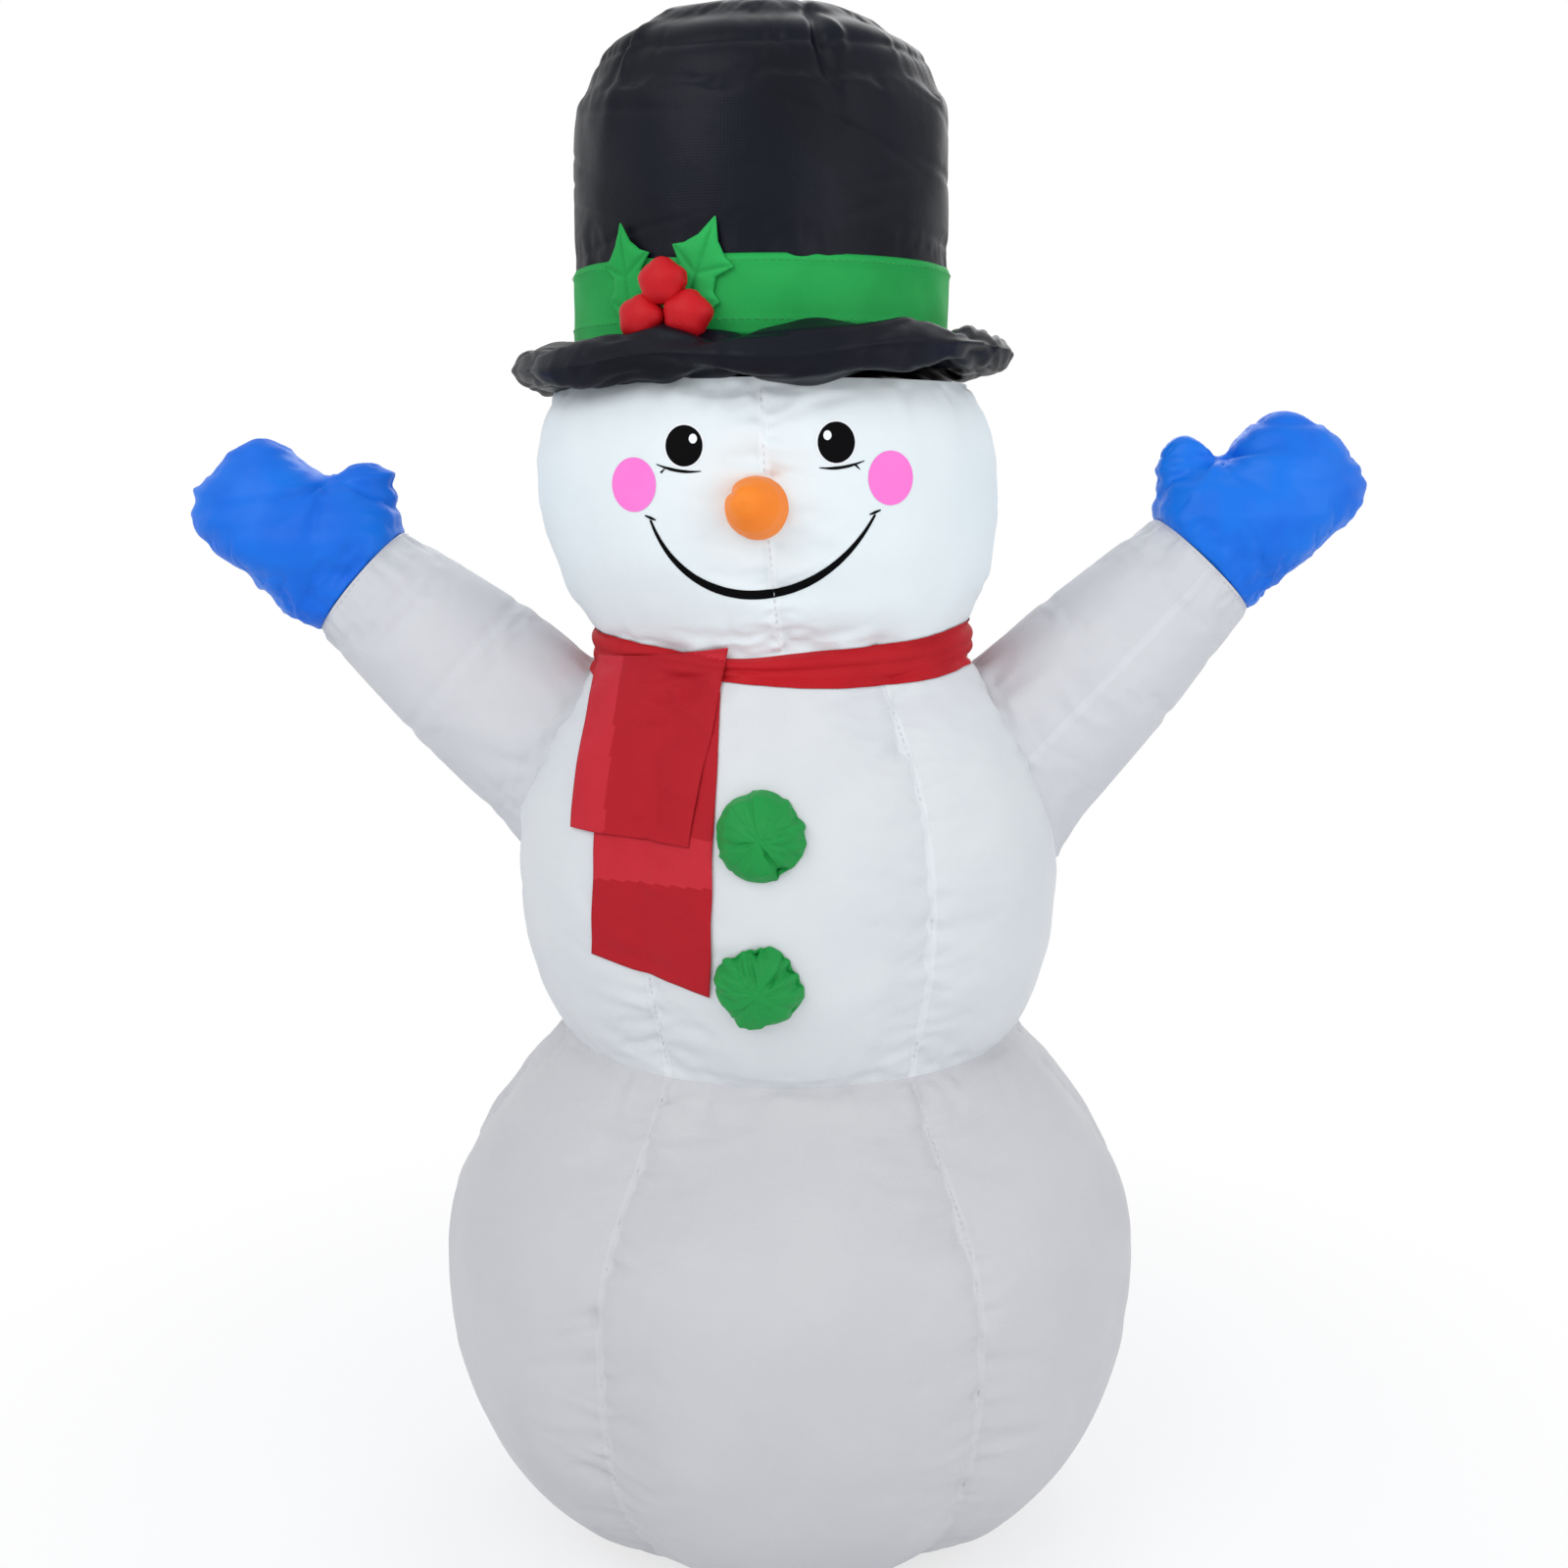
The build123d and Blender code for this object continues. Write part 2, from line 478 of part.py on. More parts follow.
parts["cable_gland"] = fan_frame * gland_place * (
    tube(GLAND_BORE, GLAND_BORE + GLAND_WALL, gland_start, FAN_OUTER + GLAND_RISE)
    + tube(GLAND_BORE, GLAND_BORE + 2 * GLAND_WALL, FAN_OUTER, FAN_OUTER + GLAND_RISE))

grille = tube(FAN_RADIUS - 2 * FAN_WALL, flange_radius, FAN_OUTER, grille_end)
for ring in GRILLE_RINGS:
    grille += tube(ring - GRILLE_BAR, ring, FAN_OUTER, grille_end)
for spoke in range(GRILLE_SPOKES):
    inner_end = GRILLE_RINGS[0] - GRILLE_BAR / 2
    bar = Pos((inner_end + FAN_RADIUS - FAN_WALL) / 2, 0, FAN_OUTER + GRILLE_THICKNESS / 2) * Box(
        FAN_RADIUS - FAN_WALL - inner_end, GRILLE_BAR, GRILLE_THICKNESS)
    grille += Rot(0, 0, spoke * 360 / GRILLE_SPOKES) * bar
parts["intake_grille"] = fan_frame * (grille - screw_holes)

screws = [place * (rod(SCREW_RADIUS, flange_start, grille_end)
                   + rod(SCREW_HEAD_RADIUS, grille_end, grille_end + SCREW_HEAD)) for place in screw_places]
parts["grille_screws"] = Compound([fan_frame * screw for screw in screws])

shaft_tail = motor_end - MOTOR_LENGTH / 2
motor = rod(MOTOR_RADIUS, motor_start, motor_end) + rod(BOSS_RADIUS, motor_end, boss_end)
parts["fan_motor"] = fan_frame * (motor - rod(SHAFT_RADIUS + SHAFT_CLEARANCE, shaft_tail, boss_end))
parts["fan_shaft"] = fan_frame * rod(SHAFT_RADIUS, shaft_tail + SHAFT_CLEARANCE, hub_end)

blade_length = BLADE_RADIUS - HUB_RADIUS * 0.9
blade = Pos(HUB_RADIUS * 0.9 + blade_length / 2, 0, (hub_start + hub_end) / 2) * Rot(BLADE_PITCH, 0, 0) * Box(
    blade_length, HUB_LENGTH, BLADE_THICKNESS)
impeller = rod(HUB_RADIUS, hub_start, hub_end)
for index in range(BLADES):
    impeller += Rot(0, 0, index * 360 / BLADES) * blade
parts["fan_impeller"] = fan_frame * (impeller - rod(SHAFT_RADIUS, hub_start, hub_end))


# ---------------------------------------------------------------- zipper

def zip_strip(inner, outer, low, high):
    """A strip of the zipper, following the widest ring of the lower ball."""
    middle = Pos((inner + outer) / 2, LOWER_HEIGHT + (low + high) / 2)
    section = Plane.XZ * middle * Rectangle(outer - inner, high - low)
    return panel(section, ZIP_ANGLE - ZIP_HALF_SPAN, 2 * ZIP_HALF_SPAN)


skin_inside = LOWER_RADIUS - WALL
parts["zip_tapes"] = Compound([zip_strip(skin_inside, LOWER_RADIUS, ZIP_COIL, ZIP_TAPE),
                               zip_strip(skin_inside, LOWER_RADIUS, -ZIP_TAPE, -ZIP_COIL)])
parts["zip_coil"] = zip_strip(skin_inside, LOWER_RADIUS + ZIP_COIL_PROUD, -ZIP_COIL, ZIP_COIL)

slider_inner = LOWER_RADIUS + ZIP_COIL_PROUD + SLIDER_GAP
slider_outer = slider_inner + SLIDER_THICKNESS
slider_angle = ZIP_ANGLE - ZIP_HALF_SPAN + ZIP_START
pin_radius = slider_outer + PULL_EYE + SLIDER_GAP
pin_place = Rot(0, 0, slider_angle) * Pos(pin_radius, 0, LOWER_HEIGHT)
plate = Pos((slider_inner + slider_outer) / 2, LOWER_HEIGHT) * Rectangle(SLIDER_THICKNESS, 2 * SLIDER_HALF_HEIGHT)
slider = panel(Plane.XZ * plate, slider_angle - SLIDER_HALF_ANGLE, 2 * SLIDER_HALF_ANGLE)
lug_reach = pin_radius + 2 * PULL_PIN - slider_outer + SLIDER_THICKNESS / 2
for end in (-1, 1):
    lug_middle = end * (SLIDER_HALF_HEIGHT - LUG_HEIGHT / 2)
    slider += pin_place * Pos(2 * PULL_PIN - lug_reach / 2, 0, lug_middle) * Box(
        lug_reach, 4 * PULL_PIN, LUG_HEIGHT)
slider += pin_place * rod(PULL_PIN, -SLIDER_HALF_HEIGHT, SLIDER_HALF_HEIGHT)
parts["zip_slider"] = slider

eye_half = SLIDER_HALF_HEIGHT - LUG_HEIGHT - SLIDER_GAP
pull = rod(PULL_EYE, -eye_half, eye_half)
pull += Pos(0, PULL_LENGTH / 2, 0) * Box(PULL_THICKNESS, PULL_LENGTH, 2 * eye_half)
parts["zip_pull"] = pin_place * (pull - rod(PULL_PIN + SHAFT_CLEARANCE, -eye_half, eye_half))


# ---------------------------------------------------------------- tether points

def tether_ring():
    """A D-ring hanging below its straight bar, which lies along local Y."""
    bar = Rot(90, 0, 0) * rod(RING_WIRE, -RING_BEND, RING_BEND)
    bend = revolve(Plane.XY * Pos(0, RING_BEND) * Circle(RING_WIRE), Axis.X, 180)
    corners = [Pos(0, end * RING_BEND, 0) * Sphere(RING_WIRE) for end in (-1, 1)]
    ring = bar + bend + corners
    return ring if ring.bounding_box().min.Z < -RING_BEND else Rot(180, 0, 0) * ring


tabs = []
for name, angle in zip(("left", "right"), TETHER_ANGLES):
    bar_place = Rot(0, 0, angle) * Pos(TORSO_RADIUS + RING_STANDOFF, 0, TORSO_HEIGHT)
    parts[f"tether_ring_{name}"] = bar_place * tether_ring()
    loop = Rot(90, 0, 0) * rod(SLEEVE_OUTER, -WEBBING_WIDTH / 2, WEBBING_WIDTH / 2)
    strap = Pos(-RING_STANDOFF - SLEEVE_OUTER / 2 + STRAP_THICKNESS, 0, TAB_HEIGHT / 2) * Box(
        SLEEVE_OUTER + 2 * STRAP_THICKNESS, WEBBING_WIDTH, TAB_HEIGHT)
    bore = Rot(90, 0, 0) * rod(RING_WIRE + SLEEVE_CLEARANCE, -WEBBING_WIDTH, WEBBING_WIDTH)
    tabs.append(bar_place * (loop + strap - bore) - torso_volume)
parts["tether_tabs"] = Compound([solid for tab in tabs for solid in tab.solids()])

straps = []
eyelets = []
for angle in TETHER_ANGLES:
    turn = Rot(0, 0, angle)
    strap_length = STRAP_REACH - BASE_RADIUS + FOOT_WALL
    strip = Pos(STRAP_REACH - strap_length / 2, 0, STRAP_THICKNESS / 2) * Box(
        strap_length, STRAP_WIDTH, STRAP_THICKNESS)
    hole = Pos(EYELET_CENTRE, 0, 0) * rod(EYELET_BORE + EYELET_WALL, 0, STRAP_THICKNESS)
    straps.append(turn * (strip - hole) - lower_volume)
    eyelet = tube(EYELET_BORE, EYELET_BORE + EYELET_WALL, 0, STRAP_THICKNESS + EYELET_RISE)
    eyelet += tube(EYELET_BORE, EYELET_BORE + EYELET_FLANGE, STRAP_THICKNESS, STRAP_THICKNESS + EYELET_RISE)
    eyelets.append(turn * Pos(EYELET_CENTRE, 0, 0) * eyelet)
parts["stake_straps"] = Compound([solid for strap in straps for solid in strap.solids()])
parts["stake_eyelets"] = Compound(eyelets)


# ---------------------------------------------------------------- light string

lamp_half = SOCKET_HEIGHT / 2
sockets = [Pos(0, WIRE_BACK, height) * rod(SOCKET_RADIUS, -lamp_half, lamp_half) for height in LAMP_HEIGHTS]
parts["lamp_sockets"] = Compound(sockets)
lens_cone = Rot(90, 0, 0) * Cone(LENS_RADIUS, LENS_RADIUS / 2, SOCKET_RADIUS + LENS_REACH,
                                 align=(Align.CENTER, Align.CENTER, Align.MIN))
lens = lens_cone - rod(SOCKET_RADIUS, -lamp_half, lamp_half)
parts["lamp_lenses"] = Compound([Pos(0, WIRE_BACK, height) * lens for height in LAMP_HEIGHTS])

spans = [Pos(0, WIRE_BACK, low + lamp_half) * rod(WIRE_RADIUS, 0, high - low - SOCKET_HEIGHT)
         for low, high in zip(LAMP_HEIGHTS, LAMP_HEIGHTS[1:])]
lead_foot = (fan_frame * Pos(0, -FAN_RADIUS - WIRE_RADIUS, FAN_INNER + LEAD_EXIT)).position
socket_foot = LAMP_HEIGHTS[0] - lamp_half
lead_points = [(lead_foot.Y, lead_foot.Z), (WIRE_BACK + 70, socket_foot - 156), (WIRE_BACK, socket_foot - 56),
               (WIRE_BACK, socket_foot)]
lead_radii = (400, 80)
lead_path = Plane.YZ * FilletPolyline(*lead_points, radius=lead_radii)
lead = sweep(Plane(origin=lead_path @ 0, z_dir=lead_path % 0) * Circle(WIRE_RADIUS), lead_path)
parts["light_wire"] = Compound([lead] + spans)

ties = []
for height, section in zip(LAMP_HEIGHTS, (LOWER, TORSO, HEAD)):
    back = WIRE_BACK + SOCKET_RADIUS
    tie = Pos(0, back + LOWER_RADIUS / 2, height) * Box(TIE_WIDTH, LOWER_RADIUS, TIE_THICKNESS)
    ties.append(tie & volume(section, WALL + CLOTH_GAP))
parts["lamp_ties"] = Compound([solid for tie in ties for solid in tie.solids()])

os.makedirs("parts", exist_ok=True)
for name, shape in parts.items():
    export_step(shape, f"parts/{name}.step")
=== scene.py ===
"""Looks of the inflatable yard snowman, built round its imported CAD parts.

Lengths in this file are millimetres until a mesh is made, and angles are degrees round +Z from +X.
The snowman faces -Y, and its back is at 90 degrees.
"""
from __future__ import annotations

import logging  # noqa: E402
import math  # noqa: E402
from dataclasses import dataclass, field  # noqa: E402
from enum import Enum  # noqa: E402

import bmesh  # noqa: E402
import bpy  # noqa: E402
import numpy as np  # noqa: E402
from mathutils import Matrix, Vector  # noqa: E402
from mathutils.bvhtree import BVHTree  # noqa: E402
from mathutils.geometry import tessellate_polygon  # noqa: E402


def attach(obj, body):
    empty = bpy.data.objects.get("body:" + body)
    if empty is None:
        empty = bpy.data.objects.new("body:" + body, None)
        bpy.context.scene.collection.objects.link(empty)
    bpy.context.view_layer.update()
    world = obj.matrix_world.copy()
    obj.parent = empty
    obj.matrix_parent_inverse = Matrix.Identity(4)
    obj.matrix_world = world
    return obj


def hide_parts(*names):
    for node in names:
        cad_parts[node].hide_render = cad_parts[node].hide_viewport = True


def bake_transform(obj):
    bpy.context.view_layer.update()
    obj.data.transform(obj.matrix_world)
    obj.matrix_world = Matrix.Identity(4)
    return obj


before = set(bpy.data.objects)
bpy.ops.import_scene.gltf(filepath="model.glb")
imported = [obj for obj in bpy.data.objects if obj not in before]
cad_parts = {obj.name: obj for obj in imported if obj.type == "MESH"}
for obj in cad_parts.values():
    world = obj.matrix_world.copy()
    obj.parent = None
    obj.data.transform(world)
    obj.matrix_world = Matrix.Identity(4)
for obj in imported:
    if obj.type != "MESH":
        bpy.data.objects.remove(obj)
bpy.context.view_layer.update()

log = logging.getLogger("snowman")
MM = 0.001
STILL = "snowman"
Piece = bpy.types.Object
Point2 = tuple[float, float]

# Heights and radii shared by several sub-assemblies
WAIST = (231.0, 534.0)
NECK = (178.0, 925.0)
HEAD_TOP = (201.0, 1181.0)
HAT_X = -28.0
BRIM_TOP = 1226.0
BAND_TOP = 1288.0
CROWN_RADIUS = 181.0
LEAN_HEIGHTS = (534, 700, 925, 1053, 1200)
LEAN_PLACES = (0, -2, -9, -21, HAT_X)       # how far to the side the body's middle is at those heights

STEEPEST_CREASE = 0.35
FAN_REACH = 60.0                            # how far along the fan's axis the skin belongs to its opening
ZIPPER_FADE, ZIPPER_SINK = 14.0, 3.0        # how the skin draws in under the zipper's tapes
BRIM_RING, CROWN_RING = 215.0, 170.0        # the rings along which the hat's folds are counted

# Patterns of the cloth
PATCHES_PER_METRE = 9.0
CREASES_PER_METRE = 38.0
WAVE_SCALE = math.tau / 20                  # the wave texture's scale for one band in a metre
SEAM_STRIP = (0.0034, 0.0048)               # where the strip beside a seam fades out, in metres
SEAM_STRENGTH = 0.45

# How the cloth simulation treats coated polyester
CLOTH_SETTINGS = {
    "quality": 4, "mass": 0.15, "tension_stiffness": 12, "compression_stiffness": 12, "shear_stiffness": 6,
    "bending_stiffness": 0.05, "use_pressure": True, "vertex_group_mass": "held",
    "vertex_group_shrink": "gathered", "shrink_min": -0.01,
}
INFLATING_FRAMES = 20


# ---------------------------------------------------------------- node and colour helpers

def linear(colour: str) -> tuple[float, float, float, float]:
    """Turns an sRGB hex colour to linear light.

    Args:
        colour: Six hex digits after a hash.
    Returns:
        Red, green, blue and alpha.
    """
    shares = [int(colour[i:i + 2], 16) / 255 for i in (1, 3, 5)]
    return (*[s / 12.92 if s <= 0.04045 else ((s + 0.055) / 1.055) ** 2.4 for s in shares], 1.0)


def add(tree: bpy.types.NodeTree, kind: str, inputs: dict | None = None,
        **settings: object) -> bpy.types.Node:
    """Adds a node, with its settings, values and links.

    Args:
        tree: The tree that gets the node.
        kind: The node's type name.
        inputs: Socket name or number to a value, or to the socket that feeds it.
        settings: The node's own properties.
    Returns:
        The new node.
    """
    made = tree.nodes.new(kind)
    for name, value in settings.items():
        setattr(made, name, value)
    for key, value in (inputs or {}).items():
        if isinstance(value, bpy.types.NodeSocket):
            tree.links.new(value, made.inputs[key])
        else:
            made.inputs[key].default_value = value
    return made


def blank(name: str) -> tuple[bpy.types.Material, bpy.types.NodeTree]:
    """Makes a material with an empty node tree."""
    material = bpy.data.materials.new(name)
    material.use_nodes = True
    material.node_tree.nodes.clear()
    return material, material.node_tree


def mixed(tree: bpy.types.NodeTree, share: object, low: object, high: object) -> bpy.types.NodeSocket:
    """Mixes two colours.

    Args:
        tree: The material's tree.
        share: How much of the second, a number or a socket.
        low: The first colour, as hex or a socket.
        high: The second colour, as hex or a socket.
    Returns:
        The mixed colour's socket.
    """
    ends = [linear(c) if isinstance(c, str) else c for c in (low, high)]
    node = add(tree, "ShaderNodeMix", {0: share, 6: ends[0], 7: ends[1]}, data_type="RGBA")
    return node.outputs[2]


def ramp(tree: bpy.types.NodeTree, value: bpy.types.NodeSocket, start: float, end: float,
         low: float = 0.0, high: float = 1.0) -> bpy.types.NodeSocket:
    """Maps a value smoothly from one range to another."""
    node = add(tree, "ShaderNodeMapRange", {0: value, 1: start, 2: end, 3: low, 4: high},
               interpolation_type="SMOOTHSTEP")
    return node.outputs[0]


# ---------------------------------------------------------------- finishes

class Tone(Enum):
    """How a cloth finish gets its second colour."""

    PLAIN = "plain"
    SEAMS = "seams"       # a paler strip where a seam's allowance doubles the cloth
    LAYERS = "layers"     # darker where two layers of thin cloth lie on each other


@dataclass(frozen=True)
class Cloth:
    """Coated polyester cloth: a plain weave with a faint sheen, softly creased where it is sewn."""

    name: str
    colour: str
    shade: str
    accent: str = "#FFFFFF"
    tone: Tone = Tone.PLAIN
    roughness: float = 0.55
    sheen: float = 0.05
    specular: float = 0.25
    thread_mm: float = 2.4      # real threads are 0.3 mm apart, drawn coarser so that they show
    thread_height_mm: float = 0.12
    crease_mm: float = 0.5

    def make(self) -> bpy.types.Material:
        """Builds the finish as a material."""
        material, tree = blank(self.name)
        place = add(tree, "ShaderNodeTexCoord")
        patches = add(tree, "ShaderNodeTexNoise", {"Vector": place.outputs["Object"],
                                                   "Scale": PATCHES_PER_METRE,
                                                   "Detail": 3.0, "Roughness": 0.55})
        colour = mixed(tree, ramp(tree, patches.outputs[0], 0.35, 0.7), self.colour, self.shade)
        bands = []
        for direction in ("X", "Y"):
            wave = add(tree, "ShaderNodeTexWave", {"Vector": place.outputs["UV"],
                                                   "Scale": WAVE_SCALE / (self.thread_mm * MM),
                                                   "Distortion": 0.4, "Detail": 1.0},
                       wave_type="BANDS", bands_direction=direction)
            bands.append(wave.outputs[1])
        weave = add(tree, "ShaderNodeMath", {0: bands[0], 1: bands[1]}, operation="ADD").outputs[0]
        threads = add(tree, "ShaderNodeMath", {0: weave, 1: 0.5}, operation="MULTIPLY").outputs[0]
        colour = mixed(tree, ramp(tree, threads, 0.2, 1.0, 0.0, 0.15), colour, self.shade)
        if self.tone is not Tone.PLAIN:
            mark = add(tree, "ShaderNodeAttribute", attribute_name=self.tone.value).outputs["Fac"]
            if self.tone is Tone.SEAMS:
                share = ramp(tree, mark, *SEAM_STRIP, SEAM_STRENGTH, 0.0)
            else:
                share = ramp(tree, mark, 0.45, 0.55)
            colour = mixed(tree, share, colour, self.accent)
        creases = add(tree, "ShaderNodeTexNoise", {"Vector": place.outputs["Object"],
                                                   "Scale": CREASES_PER_METRE,
                                                   "Detail": 4.0, "Roughness": 0.5, "Distortion": 0.6})
        crumple = add(tree, "ShaderNodeBump", {"Height": creases.outputs[0], "Distance": self.crease_mm * MM,
                                               "Strength": 0.7})
        bump = add(tree, "ShaderNodeBump", {"Height": threads, "Distance": self.thread_height_mm * MM,
                                            "Strength": 0.6, "Normal": crumple.outputs[0]})
        gloss = ramp(tree, patches.outputs[0], 0.3, 0.75, self.roughness - 0.06, self.roughness + 0.08)
        shader = add(tree, "ShaderNodeBsdfPrincipled", {
            "Base Color": colour, "Roughness": gloss, "Normal": bump.outputs[0], "IOR": 1.48,
            "Specular IOR Level": self.specular, "Sheen Weight": self.sheen, "Sheen Roughness": 0.5})
        add(tree, "ShaderNodeOutputMaterial", {0: shader.outputs[0]})
        return material


@dataclass(frozen=True)
class Moulded:
    """A solid finish for plastic, rubber or metal, with its grain and wear."""

    name: str
    colour: str
    shade: str
    roughness: float
    metallic: float = 0.0
    grain_mm: float = 1.2
    grain_height_mm: float = 0.03
    streak: float = 1.0         # how much longer the grain is along Z than across it
    clear: float = 0.0
    glow: float = 0.0

    def make(self) -> bpy.types.Material:
        """Builds the finish as a material."""
        material, tree = blank(self.name)
        place = add(tree, "ShaderNodeTexCoord")
        turned = add(tree, "ShaderNodeMapping", {0: place.outputs["Object"], 3: (1.0, 1.0, 1 / self.streak)})
        grain = add(tree, "ShaderNodeTexNoise", {"Vector": turned.outputs[0],
                                                 "Scale": 1 / (self.grain_mm * MM),
                                                 "Detail": 3.0})
        patches = add(tree, "ShaderNodeTexNoise", {"Vector": place.outputs["Object"], "Scale": 45.0,
                                                   "Detail": 2.0})
        colour = mixed(tree, ramp(tree, patches.outputs[0], 0.35, 0.7), self.colour, self.shade)
        gloss = ramp(tree, grain.outputs[0], 0.3, 0.7, self.roughness - 0.05, self.roughness + 0.08)
        bump = add(tree, "ShaderNodeBump", {"Height": grain.outputs[0], "Distance": self.grain_height_mm * MM,
                                            "Strength": 0.5})
        inputs = {"Base Color": colour, "Roughness": gloss, "Metallic": self.metallic,
                  "Normal": bump.outputs[0]}
        if self.clear:
            inputs["Transmission Weight"] = self.clear
        if self.glow:
            inputs["Emission Color"] = linear(self.colour)
            inputs["Emission Strength"] = self.glow
        shader = add(tree, "ShaderNodeBsdfPrincipled", inputs)
        add(tree, "ShaderNodeOutputMaterial", {0: shader.outputs[0]})
        return material


class Finish(Enum):
    """Every finish on the snowman."""

    # The four white cloths are one cloth. Their different greys are painted light: the head brightest and
    # bluish, painted as lit by the lamps inside, the torso a little less, and the arms and the lower ball
    # greyest, as painted shade. Their paler seam strips are set to the same painted levels, and the fan's
    # sleeve takes the lower ball's painted grey.
    HEAD_CLOTH_PAINTED_LIGHT = Cloth("coated_polyester_white_head_painted_light", "#E8F0F2", "#E4EDEF", "#F2F7F8", Tone.SEAMS)
    TORSO_CLOTH_PAINTED_LIGHT = Cloth("coated_polyester_white_torso_painted_light", "#DADDDF", "#D6D9DC", "#E4E8EA", Tone.SEAMS)
    LOWER_CLOTH_PAINTED_LIGHT = Cloth("coated_polyester_white_lower_painted_light", "#C9C9CB", "#C6C6C9", "#D2D2D5", Tone.SEAMS)
    ARM_CLOTH_PAINTED_LIGHT = Cloth("coated_polyester_white_arm_painted_light", "#D0D1D4", "#CCCDD1", "#D8DADD", Tone.SEAMS)
    BLACK_CLOTH = Cloth("coated_polyester_black", "#0F121D", "#0B0D16", roughness=0.42, sheen=0.0,
                        specular=0.13, crease_mm=0.8)
    BAND_CLOTH = Cloth("polyester_band_green", "#26A850", "#209A48", roughness=0.6, sheen=0.0, specular=0.15)
    LEAF_CLOTH = Cloth("polyester_leaf_green", "#2BAE56", "#239E4A", roughness=0.6, sheen=0.0, specular=0.15)
    BUTTON_CLOTH = Cloth("polyester_button_green", "#1E9645", "#17873C", roughness=0.5, sheen=0.0,
                         specular=0.2)
    BERRY_CLOTH = Cloth("polyester_berry_red", "#C81620", "#B5121B", roughness=0.5, sheen=0.0, specular=0.2)
    SCARF_CLOTH = Cloth("thin_polyester_scarf_red", "#C52F3A", "#BE2A35", "#B01F29", Tone.LAYERS,
                        roughness=0.6, sheen=0.0, specular=0.1, crease_mm=0.25)
    WRAP_CLOTH = Cloth("thin_polyester_folded_red", "#BB1A24", "#AC151E", roughness=0.6, sheen=0.0,
                       specular=0.15)
    NOSE_CLOTH = Cloth("polyester_nose_orange", "#FF9032", "#F8811E", roughness=0.5, sheen=0.0, specular=0.2)
    BLUE_CLOTH = Cloth("coated_polyester_blue", "#0A74E4", "#0564D8", roughness=0.45, sheen=0.0,
                       specular=0.25, crease_mm=0.8)
    PRINT_BLACK = Cloth("screen_print_black", "#050506", "#08080A", roughness=0.6, sheen=0.0,
                        specular=0.05, crease_mm=0.2)
    PRINT_PINK = Cloth("screen_print_pink", "#FF84DA", "#FC7DD4", roughness=0.5, sheen=0.0,
                       specular=0.1, crease_mm=0.2)
    PRINT_WHITE = Cloth("screen_print_white", "#F6F8FA", "#F0F2F5", roughness=0.5, crease_mm=0.2)
    WEBBING = Cloth("polyester_webbing", "#C4C6CA", "#B4B6BB", roughness=0.7, thread_mm=3.0,
                    thread_height_mm=0.4)
    WHITE_THREAD = Moulded("polyester_thread_white", "#D5D8DC", "#C6C9CE", 0.6, grain_mm=0.6)
    GREEN_THREAD = Moulded("polyester_thread_green", "#3FB567", "#2F9F57", 0.6, grain_mm=0.6)
    BLACK_ABS = Moulded("moulded_abs_black", "#1B1C1E", "#232427", 0.42)
    GREY_ABS = Moulded("moulded_abs_grey", "#6F7276", "#64676B", 0.45)
    MOTOR_STEEL = Moulded("zinc_plated_motor_can", "#B9BCC0", "#A5A8AC", 0.32, 1.0, 0.8)
    STEEL = Moulded("nickel_plated_steel", "#C3C5C8", "#AEB0B4", 0.25, 1.0, 0.8, streak=6.0)
    BRASS = Moulded("rolled_brass", "#C9A24C", "#B58E3B", 0.28, 1.0, 0.8)
    RUBBER = Moulded("black_rubber", "#1E1E1F", "#28282A", 0.75, grain_height_mm=0.08)
    ZIP_TAPE = Cloth("zipper_tape_white", "#C8CACE", "#BABCC1", roughness=0.75, thread_mm=1.5,
                     thread_height_mm=0.3)
    ZIP_NYLON = Moulded("nylon_zip_teeth", "#D9DADC", "#CBCCCF", 0.4)
    ZIP_METAL = Moulded("painted_zinc_slider", "#CFD0D3", "#A9ABAF", 0.35, 0.8)
    LENS = Moulded("clear_acrylic_lens", "#F4FAFF", "#E8F2FA", 0.08, clear=0.6, glow=0.3)


@dataclass
class Wardrobe:
    """Makes each finish once and gives it to pieces."""

    made: dict[Finish, bpy.types.Material] = field(default_factory=dict)

    def get(self, finish: Finish) -> bpy.types.Material:
        """Returns the material of a finish."""
        if finish not in self.made:
            self.made[finish] = finish.value.make()
        return self.made[finish]

    def dress(self, piece: Piece, finish: Finish) -> None:
        """Gives a piece, or a CAD node, one finish all over."""
        if not piece.material_slots:
            piece.data.materials.append(self.get(finish))
        for slot in piece.material_slots:
            slot.material = self.get(finish)


WARDROBE = Wardrobe()


# ---------------------------------------------------------------- shape helpers

def bezier(points: list[Point2], steps: int) -> np.ndarray:
    """Samples a cubic Bezier curve at even steps of its parameter."""
    t = np.linspace(0, 1, steps)[:, None]
    a, b, c, d = (np.array(p, float) for p in points)
    return (1 - t) ** 3 * a + 3 * t * (1 - t) ** 2 * b + 3 * t ** 2 * (1 - t) * c + t ** 3 * d


def evenly(line: np.ndarray, count: int) -> np.ndarray:
    """Divides a line of points into a number of points that lie evenly along it."""
    run = np.concatenate([[0], np.cumsum(np.linalg.norm(np.diff(line, axis=0), axis=1))])
    places = np.linspace(0, run[-1], count)
    return np.stack([np.interp(places, run, line[:, k]) for k in range(line.shape[1])], axis=1)


def lean(height: np.ndarray | float) -> np.ndarray | float:
    """How far the body's middle stands to the side at a height."""
    return np.interp(height, LEAN_HEIGHTS, LEAN_PLACES)


def smooth_noise(values: np.ndarray, period: float, rng: np.random.Generator) -> np.ndarray:
    """An irregular smooth wave along values, from about -1 to 1."""
    total = np.zeros_like(values)
    for octave in range(3):
        total += np.sin(values * math.tau * 1.7 ** octave / period + rng.uniform(0, math.tau)) / 1.7 ** octave
    return total / 2


